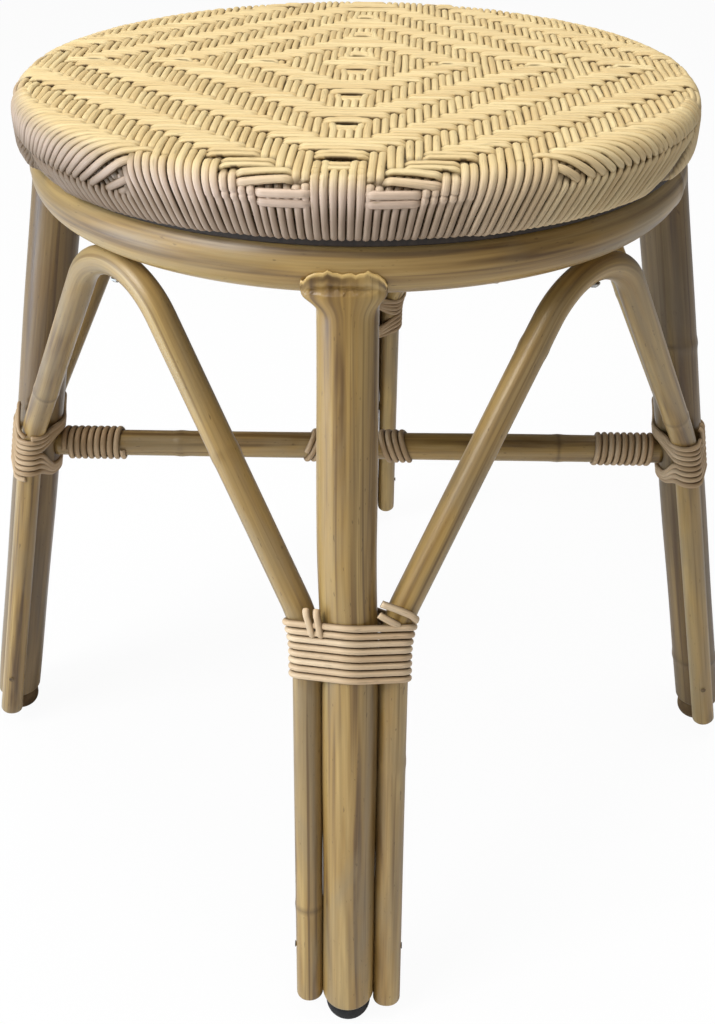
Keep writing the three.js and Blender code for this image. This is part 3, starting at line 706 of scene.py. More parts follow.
def rim_ways(offsets):
    """For strands at these offsets, the angle, the length over the rim and where each of them ends."""
    offsets = np.asarray(offsets, float)
    share = np.minimum(offsets / RIM_START, 1)
    angle, slant = np.arccos(share), np.arcsin(share)
    rise = rim_radius[:rim_widest + 1]
    along = np.where(offsets > RIM_START, np.interp(offsets, rise, rim_length[:rim_widest + 1]), 0.0)
    angles, alongs = np.empty((2, WAY_STEPS, len(offsets)))
    alive = np.ones(len(offsets), bool)
    ends = np.full(len(offsets), WAY_STEPS)
    for at in range(WAY_STEPS):
        angles[at], alongs[at] = angle, along
        done = (along >= rim_length[-1]) | ((along > rim_length[rim_widest]) & (np.cos(slant) < 0.09))
        ends = np.where(alive & done, at, ends)
        alive &= ~done
        bending = on_rim(rim_slope, along) * np.sin(slant) / on_rim(rim_radius, along)
        half_slant = slant - bending * WAY_STEP / 2
        half_along = along + np.cos(slant) * WAY_STEP / 2
        sideways = np.sin(half_slant) / on_rim(rim_radius, half_along) * WAY_STEP
        along = along + np.where(alive, np.cos(half_slant) * WAY_STEP, 0)
        angle = angle + np.where(alive, sideways, 0)
        slant = slant - np.where(alive, on_rim(rim_slope, half_along) * sideways, 0)
    return angles, alongs, ends


widest = rim_radius.max()
table_offsets = np.append(np.arange(0.0, widest - 0.3, 0.45), widest - np.array([0.2, 0.1, 0.04]))
table_angles, table_alongs, table_ends = rim_ways(table_offsets)
table_grid = np.arange(0, rim_length[-1], GRID_STEP)
angle_table = np.full((len(table_grid), len(table_offsets)), np.nan)
for at, end in enumerate(table_ends):
    way = table_alongs[:end, at]
    angle_table[:, at] = np.interp(table_grid, way, table_angles[:end, at], left=np.nan, right=np.nan)


def offset_at(angles, alongs):
    """Which offset a strand has that passes each of these places on the rim."""
    found = np.full(len(angles), NONE_THERE)
    rows = np.clip(np.rint(alongs / GRID_STEP).astype(int), 0, len(table_grid) - 1)
    for row in np.unique(rows):
        held = ~np.isnan(angle_table[row])
        here = rows == row
        ways = angle_table[row][held][::-1]
        found[here] = np.interp(angles[here], ways, table_offsets[held][::-1], left=NONE_THERE)
    return found


print("rim ways:", len(table_offsets), "offsets,", len(table_grid), "rows")

# %% [markdown]
# The rule of the twill, read off the photograph: count the pairs outwards from the middle in both
# directions and add three. Where the sum leaves 0, 1 or 2 over after division by six, the warp
# pair is on top, otherwise the weft pair is. The middle row of the diamonds isn't the seat's own
# middle but the next pair towards the back. At a step of the pattern both strands are low, which
# leaves the small dark dots along every diamond, deepened with painted shade. Between the seat's
# quarters the twill gives way on the rim: first the warps lie on top there, then the wefts with
# warps below them.

# %% The twill's rule and the strands' heights
WARP_PAIR, WEFT_PAIR = 8.2, 8.58
WARP_PAIRS, WEFT_PAIRS = 22, 21
MIDDLE_ROW = 1
RIM_WEFTS = {18: (-24.3, -18.8), 19: (-10.5, -4.4), 20: (1.6, 7.0), 21: (13.4, 17.8)}
RIM_WEFT_OFFSETS = {
    number: [RIM_START + arc if arc < 0 else float(on_rim(rim_radius, arc)) for arc in arcs]
    for number, arcs in RIM_WEFTS.items()}
ROW_PLACES = [0, 17 * WEFT_PAIR] + [sum(pair) / 2 for pair in RIM_WEFT_OFFSETS.values()] + [200]
ROW_NUMBERS = [0, 17, *RIM_WEFTS, 23]
RIM_ZONE_START, RIM_ZONE_END, WEFTS_UP_START = (17.5, 19.5), (72, 78), (30, 33)  # degrees
WARPS_UP_AGAIN, SOONER_ON_RIGHT = 22.5, 8.5  # mm over the rim
PAST_LAST_WARP = (121, 125)


def over_under(own, crossing, warp):
    """How high a strand of pair own lies at crossing pairs, from -1 to about 1."""
    column, row = (own, crossing) if warp else (crossing, own)
    phase = (np.abs(row - MIDDLE_ROW) + np.maximum(np.abs(column), 1) + 3) % 6
    warp_up = (phase < 3) & ~((column == 0) & (phase == 0))
    middle_one = (phase == 1) | (phase == 4)
    return np.where(warp_up == warp, np.where(middle_one, 1.14, 1.0), -1.0)


def pair_count(place, warp):
    """Places along a strand as a number of the pairs that it crosses."""
    if not warp:
        return place / WARP_PAIR
    return np.sign(place) * np.interp(np.abs(place), ROW_PLACES, ROW_NUMBERS)


def heights(own, place, last, warp):
    """The smooth height of a strand where it crosses at these places (in mm from the middle)."""
    count = pair_count(place, warp)
    near = np.rint(count)
    away = np.abs(count - near)
    beside = near + np.sign(count - near)
    here, there = (np.where(np.abs(at) > last, 0.35, over_under(own, at, warp)) for at in (near, beside))
    top, low = np.maximum(here, there), np.minimum(here, there)
    into_top = (0.5 - away) * np.where(here > there, 1, -1)
    begin, end = (-0.12, 0.48) if warp else (-0.24, 0.40)
    step = low + (top - low) * smooth_step(into_top, begin, end)
    drift = here + (there - here) * 0.5 * smooth_step(away, 0.2, 0.5)
    return np.where(top - low > 0.5, step, drift)


def settled(level, way_round, over, warp, right):
    """The height on the rim. way_round is the angle in degrees away from the front or back line."""
    turnover = WARPS_UP_AGAIN - SOONER_ON_RIGHT * right
    wefts_up = smooth_step(way_round, *WEFTS_UP_START) * (1 - smooth_step(over, turnover, turnover + 4))
    if not warp:  # past the outermost warp nothing holds the wefts down
        wefts_up = np.maximum(wefts_up, smooth_step(over + 1.5 * way_round, *PAST_LAST_WARP))
    in_zone = smooth_step(way_round, *RIM_ZONE_START) * (1 - smooth_step(way_round, *RIM_ZONE_END))
    share = smooth_step(over, 1.5, 5) * in_zone
    return level * (1 - share) + (1 - 2 * wefts_up) * (1 if warp else -1) * share


def strand_way(offset):
    """Points of a strand on the +offset side, normals, places across and lengths over the rim."""
    angles, alongs, ends = rim_ways([abs(offset)])
    angle, along = angles[:ends[0], 0], alongs[:ends[0], 0]
    place = offset_at(np.pi / 2 - angle, along)
    points = polar(on_rim(rim_radius, along), angle, on_rim(rim_height, along))
    normals = polar(-on_rim(rim_fall, along), angle, on_rim(rim_slope, along))
    flat_end = math.sqrt(max(RIM_START ** 2 - offset ** 2, 0))
    flat = np.arange(0, flat_end - 0.3, 1.0)
    crown = seat_high[2] - STRAND_DEPTH - CROWN * (np.hypot(flat, offset) / RIM_START) ** 2
    flat_points = np.stack([np.full(len(flat), abs(offset)), flat, crown], axis=1)
    keep = np.arange(1 if len(flat) else 0, len(along), 2)
    points = np.vstack([flat_points, points[keep]])
    normals = np.vstack([np.tile(UP, (len(flat), 1)), unit(normals[keep])])
    place = np.concatenate([flat, place[keep]])
    over = np.concatenate([np.zeros(len(flat)), along[keep]])
    mirror = np.array([1.0, -1.0, 1.0])
    side = np.array([1.0 if offset >= 0 else -1.0, 1.0, 1.0])
    both_ways = [np.concatenate([(values * flip)[:0:-1], values])
                 for values, flip in ((points, mirror), (normals, mirror), (place, -1), (over, 1))]
    return both_ways[0] * side, both_ways[1] * side, both_ways[2], both_ways[3]


print("twill:", WARP_PAIRS * 2 + 1, "warp pairs and", WEFT_PAIRS * 2 + 1, "weft pairs")

# %% [markdown]
# Where the diamonds turn on the front and back line, one weft pair lies on top of a single warp
# pair. It is pushed outwards there and leaves a small dark opening, deepened with painted shade on
# the strands around it. On the left and right line a slit opens between the two wefts of the
# middle row, with painted shade on its walls. Those flaws are what makes the mat look made by
# hand, so they are built in, with a slow wander of each strand. Near the rim the wefts stand
# further apart, because the last ones hang on the rim itself.

# %% The openings of the weave
OPEN_ROWS = (2, 8, 14, 20)
SLIT_PLACES, SLIT_WIDTH, SLIT_PUSH = (50.3, 99.9, 151.0), 4.6, 1.5
OPEN_SINK, OPEN_WIDTH = 2.8, 6.8
OPEN_PUSHES, LAST_OPEN_PUSHES, NEXT_PUSHES = (5.2, 5.6), (3.6, 4.2), (0.7, 1.3)
WEFT_BOW, BOW_REACH = 2.6, 150


def slits(place):
    """1 at the slits of the middle row and 0 away from them."""
    return sum(hump(np.abs(place) - slit, SLIT_WIDTH, 4) for slit in SLIT_PLACES)


def open_up(pair_number, half, warp, place, level):
    """Pushes of a strand, sideways (towards greater x or y) and outwards, and its height."""
    aside, depth = np.zeros((2, len(place)))
    beyond = pair_number - MIDDLE_ROW
    outward = 1 if beyond > 0 else -1
    if warp:
        for row in OPEN_ROWS if abs(pair_number) <= 1 else ():
            away = np.abs(place / WEFT_PAIR - MIDDLE_ROW) - row
            if pair_number == 0:
                depth -= OPEN_SINK * hump(away - 0.16, 0.70, 4)
            else:
                aside += pair_number * (0.9 if half * pair_number < 0 else 0.3) * hump(away, 0.6, 4)
        return aside, depth, level
    inner = half * outward < 0
    if abs(beyond) in OPEN_ROWS:
        plateau = 1 - 2 * smooth_step(np.abs(place), 4.4, 7.0)
        level = np.where(np.abs(place) < 7, np.maximum(level, plateau), level)
        push = LAST_OPEN_PUSHES if abs(beyond) == OPEN_ROWS[-1] else OPEN_PUSHES
        aside += outward * push[inner] * hump(place, OPEN_WIDTH, 4)
    if abs(beyond) + 1 in OPEN_ROWS:
        aside += outward * NEXT_PUSHES[inner] * hump(np.abs(place) - 9, 4.0, 4)
    if beyond == 0:
        aside += half * SLIT_PUSH * slits(place)
    aside += WEFT_BOW * (np.minimum(np.abs(place), BOW_REACH) / BOW_REACH) ** 2 * hump(beyond, 8)
    return aside, depth, level


def painted_hollow_shade(pair_number, half, place):
    """How much painted shade the outer flank of a weft gets, next to the openings and to the steps of the
    diamonds.
    """
    beyond = pair_number - MIDDLE_ROW
    count = np.clip(place / WARP_PAIR, -40, 40)
    column = np.rint(count)
    next_column = column + np.sign(count - column)
    up_here = over_under(pair_number, column, False) > 0
    low_there = over_under(pair_number + half, column, False) < 0
    up_beside = over_under(pair_number + half, next_column, False) > 0
    dark = (up_here & low_there & up_beside) * smooth_step(np.abs(count - column), 0.0, 0.15)
    if half * beyond > 0 and abs(beyond) + 1 in OPEN_ROWS:
        dark = np.maximum(dark, hump(place, 5.6, 6))
    if half * beyond > 0 and abs(beyond) + 2 in OPEN_ROWS:
        dark = np.maximum(dark, 0.9 * hump(np.abs(place) - 9, 4, 4) + 0.3 * hump(place, 6, 4))
    if beyond == 0:
        dark = np.maximum(dark, slits(place))
    return dark


print("openings in rows", OPEN_ROWS, "and slits at", SLIT_PLACES, "mm")

# %% [markdown]
# Now the strands themselves. Each one gets its way over the rim, its height at every crossing and
# its pushes, and is then swept like a pole. Three marks go with it for the finish: how much
# painted shade it gets, in the gaps between its neighbours and down the rim, its own tint, and how
# far down the rim it is.

# %% Every strand of the seat
SEAT_SHIFT, SEAT_TURN = np.array([-1.4, 1.0, 0.0]), math.radians(-1.48)
LIFT = 1.12
STRAND_THICK, STRAND_SIDES = 2.6, 8
WARP_WIDE, WEFT_WIDE = 4.0, 4.25
FIRST_SUNK_WEFT, FIRST_SUNK_WARP = 19, 20
WEFT_SINK, WARP_SINK = 2.6, 1.2
strand_turn = full_circle(STRAND_SIDES)
strand_cos, strand_sin = np.cos(strand_turn), np.sin(strand_turn)
weave_parts, weave_marks = [], []


def painted_strand_shade(pair_number, half, warp, place, over, level, toward, x, right):
    """How much painted shade each point of a strand gets: on its flanks, where it dives, beside the openings
    and down the rim.
    """
    # painted shade on the flanks and undersides, stronger down the rim, and in the dips of each strand
    flank = np.clip(-strand_sin * 0.6 + 0.35 * (np.abs(strand_sin) < 0.1), 0, 1)
    painted_flank_shade = (1.0 if warp else 0.35) + 0.8 * smooth_step(over, 4, 20) * (1 - 0.6 * right)
    low = np.maximum(0.85 * (1 - smooth_step(level, -0.9, 0.7))[:, None], flank * painted_flank_shade[:, None])
    if not warp:
        facing = half * (-1 if pair_number == MIDDLE_ROW else 1)
        outer_flank = (-toward * facing * strand_cos > 0.6) & (strand_sin < 0.1)
        low = np.maximum(low, painted_hollow_shade(pair_number, half, place)[:, None] * outer_flank)
    # painted shade down the rim, weaker on the right and stronger on the left rim
    painted_rim_shade = 0.55 * smooth_step(over, 13, 27) * (1 - 0.9 * smooth_step(x, 20, 120))
    painted_rim_shade += 0.35 * smooth_step(over, 4, 10) * smooth_step(-x, 50, 130)
    return np.clip(low + painted_rim_shade[:, None], 0, 1).ravel()


def woven_strand(pair_number, half, warp):
    """Adds one strand. half is -1 or 1, for its place in the pair."""
    last = WEFT_PAIRS if warp else WARP_PAIRS
    offset = (WARP_PAIR if warp else WEFT_PAIR) * (pair_number + half * 0.25)
    if not warp and abs(pair_number) in RIM_WEFTS:
        inner, outer = RIM_WEFT_OFFSETS[abs(pair_number)]
        offset = math.copysign(inner if half * pair_number < 0 else outer, pair_number)
    points, normals, place, over = strand_way(offset)
    if not warp:
        points, normals = points[:, SWAPPED], normals[:, SWAPPED]
    way_round = np.degrees(np.arctan2(np.abs(points[:, 0]), np.abs(points[:, 1])))
    length = length_along(points)
    level = heights(pair_number, place, last, warp)
    aside, depth, level = open_up(pair_number, half, warp, place, level)
    right = smooth_step(points[:, 0], 40, 90)
    level = settled(level, way_round, over, warp, right)
    depth += level * LIFT
    if not warp and abs(pair_number) >= FIRST_SUNK_WEFT:
        hidden = right if abs(pair_number) == FIRST_SUNK_WEFT else 1
        depth -= WEFT_SINK * hidden * np.maximum(smooth_step(way_round, 18, 21), smooth_step(over, 19, 24))
    if warp and abs(pair_number) >= FIRST_SUNK_WARP:
        depth -= WARP_SINK * (1 - right) * smooth_step(90 - way_round, 18, 21)
    phase = chance.uniform(0, 6.28, 4)
    aside += 0.15 * np.sin(length / 19 + phase[0]) + 0.11 * np.sin(length / 7.3 + phase[1])
    depth += 0.10 * np.sin(length / 13 + phase[2]) + 0.06 * np.sin(length / 4.1 + phase[3])
    across = unit(np.cross(run_of(points), normals))
    toward = np.sign(across[len(points) // 2, 0 if warp else 1])
    points = points + normals * depth[:, None] + across * (aside * toward)[:, None]
    wide = (WARP_WIDE if warp else WEFT_WIDE) + chance.normal(0, 0.07) + 0.10 * np.sin(length / 9 + phase[1])
    wide = wide - 0.5 * smooth_step(over, 10, 22) - 0.5 * np.clip(1 - np.abs(level), 0, 1) * (over < 3)
    thick = np.full(len(wide), STRAND_THICK + chance.normal(0, 0.05))
    section = np.stack([wide[:, None] / 2 * strand_cos, thick[:, None] / 2 * strand_sin], axis=-1)
    weave_parts.append(stick_parts(points, normals, section))
    x = points[:, 0]
    rim = smooth_step(over, 3, 16) * (1 - 0.8 * smooth_step(x, 10, 130))
    # the low mark carries the painted shade
    weave_marks.append({
        "low": painted_strand_shade(pair_number, half, warp, place, over, level, toward, x, right),
        "tint": np.full(len(points) * STRAND_SIDES, chance.uniform(0, 1)),
        "rim": np.repeat(rim, STRAND_SIDES)})


for warp, pairs in ((True, WARP_PAIRS), (False, WEFT_PAIRS)):
    for number, half in itertools.product(range(-pairs, pairs + 1), (-1, 1)):
        woven_strand(number, half, warp)
print("strands:", len(weave_parts), "points:", sum(len(part[0]) for part in weave_parts))

# %% [markdown]
# Round core is straw-coloured, with hair-fine fibres and a speck here and there, and no two
# strands are quite alike. The finish mixes two straws by each strand's own tint and turns a little
# redder down the rim, as in the photograph. The low mark paints shade into the gaps and grooves
# between the strands, into their dips and down the rim, which would look too clean and shallow
# with the lamps alone.

# %% The strand finish
# the brown of the painted shade in the weave and the lashings
PAINTED_SHADE_BROWN = (0.12, 0.075, 0.035)


def strand_finish(name, pale, deep, rim, painted_shade_strength):
    """Split or round cane strand: straw, with fine fibres, and painted shade from the low mark where it
    dives and in its grooves.
    """
    cane = Finish(name)
    fibre = cane.noise(cane.grain(0.5, 26), 3, 0.6)
    patch = cane.noise(cane.grain(7, 38, 4.4), 2, 0.5)
    speck = cane.noise(cane.grain(1.1, 9, 2.7), 1, 0.5)
    base = cane.blend(cane.mark("tint"), deep, pale)
    base = cane.blend(cane.ramp(patch, (0.35, 0), (0.7, 0.55)), base, deep)
    if rim:
        base = cane.blend(cane.mark("rim"), base, rim)
    base = cane.blend(0.5, base, cane.ramp(fibre, (0.3, 0.62), (0.62, 1.0)), "MULTIPLY")
    base = cane.blend(cane.ramp(speck, (0.66, 0), (0.76, 0.45)), base, dimmed(deep, 0.45))
    # the low mark mixes in painted shade
    base = cane.blend(cane.sums(cane.mark("low"), painted_shade_strength), base, PAINTED_SHADE_BROWN)
    cane.shade({"Base Color": base, "Roughness": cane.ramp(fibre, (0.2, 0.62), (0.8, 0.46))})
    cane.shade({"Specular IOR Level": 0.4})
    return cane.bumped(fibre, 0.12)


woven_core = strand_finish("woven_core", (0.83, 0.67, 0.36), (0.70, 0.52, 0.25), (0.69, 0.52, 0.40), 0.93)
lashing_cane = strand_finish("lashing_cane", (0.84, 0.66, 0.44), (0.66, 0.47, 0.28), None, 0.85)
# a darker copy of the lashing cane, painted shade for the bindings and wraps that lie in shadow
painted_shade_lashing = strand_finish("painted_shade_lashing", (0.62, 0.45, 0.27), (0.45, 0.30, 0.16), None, 0.85)
weave = merged(weave_parts)
weave = (turned(weave[0], SEAT_TURN) + SEAT_SHIFT,) + weave[1:]
marks = {label: np.concatenate([strand[label] for strand in weave_marks]) for label in weave_marks[0]}
mesh_piece("seat_weave_strands", "seat_weave", weave, marks, [woven_core])
print("weave height", round(weave[0][:, 2].min(), 1), "to", round(weave[0][:, 2].max(), 1))

# %% [markdown]
# Inside the weave runs a rim hoop, and a thin dark board closes the seat from below. The board and
# a dark bead under its edge draw the dark line between the weave and the leg hoop. A lathed disc
# with an eased edge and the bead in its outline does it.

# %% Rim hoop and board
rim_parts, rim_joint, rim_sizes = round_hoop("seat_rim_hoop", 0.2, 240, 24, (180, 560), 0.01)
mesh_piece("rim_hoop_pole", "seat_rim_hoop", rim_parts, {"joint": rim_joint}, [pole_wood])


def lathe_parts(profile, segments=48):
    """A turned piece round the Z axis from (radius, height) places, from the bottom to the top."""
    radius, height = np.array(profile, float).T[..., None]
    points = polar(radius, full_circle(segments), height)
    return ring_parts(points, points + next(stick_number) * 31.0)


def board_finish():
    """Thin board stained dark brown, with a plain straight grain."""
    board = Finish("stained_board")
    grain = board.scaled(board.add("Attribute", {}, attribute_name="grain"), (2, 1000 / 14, 1000 / 60))
    figure = board.noise(grain, 4, 0.6, 0.3)
    stain = board.ramp(figure, (0.3, (0.014, 0.008, 0.005)), (0.7, (0.035, 0.021, 0.012)))
    board.shade({"Base Color": stain, "Roughness": 0.62})
    return board.bumped(figure, 0.15)


BEAD_DROP = 3.4
board_low, board_high = solid_sizes("seat_board")
board_radius = (board_high[0] - board_low[0]) / 2
bead_low = board_low[2] - BEAD_DROP
board_outline = [
    (3.8, board_low[2]), (1.7, bead_low + 0.3), (1.0, bead_low), (0.2, bead_low + 0.6), (0, bead_low + 1.4),
    (0, board_high[2] - 0.7), (0.2, board_high[2] - 0.2), (0.7, board_high[2])]
board_parts = lathe_parts([(board_radius - inward, height) for inward, height in board_outline], 120)
mesh_piece("seat_board_disc", "seat_board", board_parts, {}, [board_finish()])
print("rim hoop radius", round(rim_sizes[0], 1), "board radius", round(board_radius, 1))

# %% [markdown]
# Each leg is bound to the two brace tails beside it with a split strand, pulled tight in eight
# turns. A tight strand lies on the outline of the three poles: an arc, a straight run to the next
# pole, an arc again. On the inner side the turns part above and below the stretcher. The strand is
# half round, flat side to the poles.

# %% The outline that a binding lies on
LASH_WIDE, LASH_THICK, LASH_SIDES = 3.9, 2.3, 8
dome_turn = np.linspace(0, np.pi, LASH_SIDES)
dome_rise = np.sin(dome_turn) ** 0.8 - 0.5
HALF_ROUND = np.stack([LASH_WIDE / 2 * np.cos(dome_turn), LASH_THICK * dome_rise], axis=1)
STOP_SHARES = (0, 0.06, 0.17, 0.33, 0.44, 0.5)
half_brace = brace_line[:len(brace_line) // 2]
half_brace_run = run_of(half_brace)


def on_circle(circle, facing):
    """The place on a circle (x, y, radius) that faces a way."""
    x, y, radius = circle
    return np.array([x + radius * math.cos(facing), y + radius * math.sin(facing)])


def outline_point(share, height):
    """The place on the tight outline round leg and tails, and the way out, for a share of one turn."""
    x, y, upright = (float(np.interp(height, half_brace[:, 2], values))
                     for values in (half_brace[:, 0], half_brace[:, 1], half_brace_run[:, 2]))
    circles = [(leg_radius_at(height), 0.0, LEG_POLE / LEG_UPRIGHT), (x, y, BRACE_POLE / upright)]
    step, narrower = x - circles[0][0], circles[0][2] - circles[1][2]
    lean = math.atan2(step, y)
    spread = math.acos(min(narrower / math.hypot(max(y, 1), step), 1))
    outer, inner = math.pi / 2 - lean - spread, math.pi / 2 - lean + spread
    circle_facings = ((0, 0.0), (0, outer), (1, outer), (1, inner), (0, inner), (0, math.pi))
    stops = [(stop, *where) for stop, where in zip(STOP_SHARES, circle_facings)]
    mirrored = share > 0.5
    part = 1 - share if mirrored else share
    first, second = next(pair for pair in zip(stops, stops[1:]) if part <= pair[1][0])
    blend = (part - first[0]) / (second[0] - first[0])
    facing = first[2] * (1 - blend) + second[2] * blend
    if first[1] == second[1]:
        point = on_circle(circles[first[1]], facing)
    else:
        ends = [on_circle(circles[circle], way) for _, circle, way in (first, second)]
        point = ends[0] * (1 - blend) + ends[1] * blend
    out = np.array([math.cos(facing), math.sin(facing), 0.0])
    if mirrored:
        point, out = point * [1, -1], out * [1, -1, 1]
    return np.array([*point, height]) + out * LASH_THICK / 2, out


def leaned_point(share, height, lean):
    """The same place for a turn that leans: higher on the leg's outer face, lower beyond the tails."""
    point, _ = outline_point(share, height)
    return outline_point(share, height + lean * (point[0] - leg_radius_at(height)))


print("a turn is", round(2 * outline_point(0.25, STRETCHER_HEIGHT)[0][1], 1), "mm wide")

# %% [markdown]
# The binding itself is one strand that winds down the outline. Two short strands tie its top turns
# down beside the left tail, and two more slant over the right brace. The photograph shows them on
# the front leg, and the other legs get the same.

# %% Bindings round the legs
BINDING_TURNS, BINDING_PITCH, FAN_PITCH, PASS_BY = 8, 4.2, 1.8, 12.6
BINDINGS = {"front": (238.6, 0.5), "right": (240.2, 0.0), "back": (238.6, 0.5), "left": (240.2, 0.0)}
BINDING_HALF = BINDING_PITCH * BINDING_TURNS / 2
TURN_STEPS = 120
TIE_SHARES, TIE_TURNS, TIE_ABOVE = (0.872, 0.894), 3.4, 6.0
SLANTS = (((0.098, 0.22), (15.5, 0.5)), ((0.098, 0.15), (10.0, 2.0)))


def pass_height(turn):
    """Where a turn passes the stretcher on the inner side."""
    half = BINDING_TURNS // 2
    away = PASS_BY + FAN_PITCH * (half - 1 - turn if turn < half else turn - half)
    return STRETCHER_HEIGHT + (away if turn < half else -away)


def as_strand(places):
    """Points and ways out from pairs of a point and a way out."""
    return tuple(np.array(values) for values in zip(*places))


def binding_strand(middle, lean):
    """The whole binding."""
    places = []
    for count in np.arange(BINDING_TURNS * TURN_STEPS + 1) / TURN_STEPS:
        share = (count + 0.25) % 1
        plain = middle + BINDING_HALF - BINDING_PITCH * count
        lift = smooth_step(share, 0.31, 0.43) * (1 - smooth_step(share, 0.57, 0.69))
        height = plain * (1 - lift) + pass_height(min(int(count), BINDING_TURNS - 1)) * lift
        places.append(leaned_point(share, height, lean * (1 - lift)))
    return as_strand(places)


def tie_strand(middle, lean, share):
    """A short strand that ties down the top turns, running up and down the face of the binding."""
    top = middle + BINDING_HALF + TIE_ABOVE
    low = top - BINDING_PITCH * TIE_TURNS
    places = []
    for height in np.linspace(top, low, 40):
        point, out = leaned_point(share, height, lean)
        inward = np.clip(min(height - low, top - height) / 2.4, 0, 1)
        places.append((point + out * (1.9 * inward ** 0.5 - 0.5), out))
    return as_strand(places)


def slanted_strand(middle, shares, rises):
    """A short strand that runs slantwise over one brace, down to the end of the top turn."""
    places = []
    for step in np.linspace(0, 1, 30):
        share, rise = (ends[0] + (ends[1] - ends[0]) * step for ends in (shares, rises))
        point, out = outline_point(share, middle + BINDING_HALF + rise)
        places.append((point + out * (1.1 * math.sin(math.pi * step) ** 0.5 - 0.6), out))
    return as_strand(places)


def lash_piece(name, node, sticks, angle):
    """Lashing strands turned to their place, with marks for tint and painted shade."""
    parts = merged([stick_parts(points, outs, HALF_ROUND) for points, outs in sticks])
    parts = turned_parts(parts, angle)
    # painted shade on the strand's edges and the flat side against the poles
    low = np.clip(0.5 - HALF_ROUND[:, 1] / LASH_THICK * 2.2, 0, 1)
    low = np.tile(low, len(parts[0]) // LASH_SIDES)
    marks = {"tint": 0.5 + 0.4 * np.sin(parts[3][:, 2] / 37.0), "low": low}
    # all but the front binding take the darker copy, as painted shade
    finish = lashing_cane if name == "leg_lashing_front" else painted_shade_lashing
    mesh_piece(name, node, parts, marks, [finish])


for corner, angle in CORNERS.items():
    middle, lean = BINDINGS[corner]
    sticks = [binding_strand(middle, lean)] + [tie_strand(middle, lean, share) for share in TIE_SHARES]
    sticks += [slanted_strand(middle, shares, rises) for shares, rises in SLANTS]
    lash_piece(f"leg_lashing_{corner}", f"leg_binding_{corner}", sticks, angle)
print("bindings of", BINDING_TURNS, "turns")

# %% [markdown]
# The stretchers' ends and their crossing are wound with the same strand. These are plain coils,
# each turn close to the next, and the crossing's coil jumps slantwise from one arm to the other.

# %% Wraps and cross lashing
WRAP_TURNS, WRAP_PITCH = 9, 4.35
WRAP_START = LEG_FACE - (STRETCHER_POLE + LASH_THICK) * 0.21 - LASH_WIDE / 2 - 0.1
CROSS_TURNS, CROSS_PITCH, CROSS_START, CROSS_SLANT = 4, 4.35, 16.5, 0.42
COIL_STEPS = 28
TO_HEIGHT = UP * STRETCHER_HEIGHT


def coil(turns, advance, slant=0.0):
    """A winding round a pole on the X axis. advance gives the place along the pole after so many
    turns, and slant pushes the lower half outward along the pole."""
    count = np.arange(int(turns * COIL_STEPS) + 1) / COIL_STEPS
    outs = polar(1.0, 2 * np.pi * count, 0.0)[:, [2, 0, 1]]
    points = outs * (STRETCHER_POLE + LASH_THICK / 2)
    points[:, 0] = [advance(turn) for turn in count]
    points[:, 0] -= slant * points[:, 2] * np.clip(points[:, 0] / 12, -1, 1)
    return points, outs


def wrap_advance(turn):
    """A wrap's place along its stretcher."""
    return WRAP_START - WRAP_PITCH * turn


def cross_advance(turn):
    """The cross lashing's place along the arm."""
    crossed = turn - CROSS_TURNS
    if crossed <= 0:
        return CROSS_START - CROSS_PITCH * crossed
    if crossed <= 0.5:
        return CROSS_START * (1 - 4 * crossed)
    return -CROSS_START - CROSS_PITCH * (crossed - 0.5)


wrap_points, wrap_outs = coil(WRAP_TURNS, wrap_advance)
for corner, angle in CORNERS.items():
    lash_piece(f"stretcher_lashing_{corner}", f"stretcher_wrap_{corner}",
               [(wrap_points + TO_HEIGHT, wrap_outs)], angle)
cross_points, cross_outs = coil(CROSS_TURNS * 2 + 0.5, cross_advance, CROSS_SLANT)
for side, flip, angle in (("over", [1, 1, 1], 0.0), ("under", [1, -1, -1], math.pi / 2)):
    lash_piece(f"cross_strand_{side}", f"cross_lashing_{side}",
               [(cross_points * flip + TO_HEIGHT, cross_outs * flip)], angle)
print("wraps and cross lashing made")

# %% [markdown]
# Every leg ends in a plastic glide, pressed in with a nail. The front one is black, and the
# others are as brown as their legs. A glide is turned in one go: a small flat, a round edge and a
# short wall. The plastic has a fine pebbled skin, and the steel of the fixings is cloudy.

# %% Glides and steel
GLIDE_FLAT, GLIDE_EDGE, GLIDE_EDGE_HEIGHT = 7.4, 5.6, 8.0
SPIKE_LENGTH = 14.7


def glide_finish(name, colour, dusty):
    """Plastic with a fine pebbled skin and a little dust."""
    plastic = Finish(name)
    pebble = plastic.noise(plastic.grain(0.7, 0.7), 3, 0.6)
    dust = plastic.noise(plastic.grain(9, 9, 3.3), 2, 0.5)
    plastic.shade({"Base Color": plastic.ramp(dust, (0.4, colour), (0.75, dusty))})
    plastic.shade({"Roughness": plastic.ramp(pebble, (0.3, 0.55), (0.7, 0.75)), "Specular IOR Level": 0.25})
    return plastic.bumped(pebble, 0.06)


def steel_finish(name, dark, light, metallic):
    """Cloudy plated or stained steel."""
    steel = Finish(name)
    cloud_size = 1000 / 600
    place = steel.scaled(steel.add("TexCoord", {}), (cloud_size,) * 3, output="Object")
    cloud = steel.noise(place, 3, 0.6)
    steel.shade({"Base Color": steel.ramp(cloud, (0.3, dark), (0.7, light)), "Metallic": metallic})
    steel.shade({"Roughness": steel.ramp(cloud, (0.3, 0.5), (0.7, 0.32))})
    return steel.bumped(cloud, 0.03)


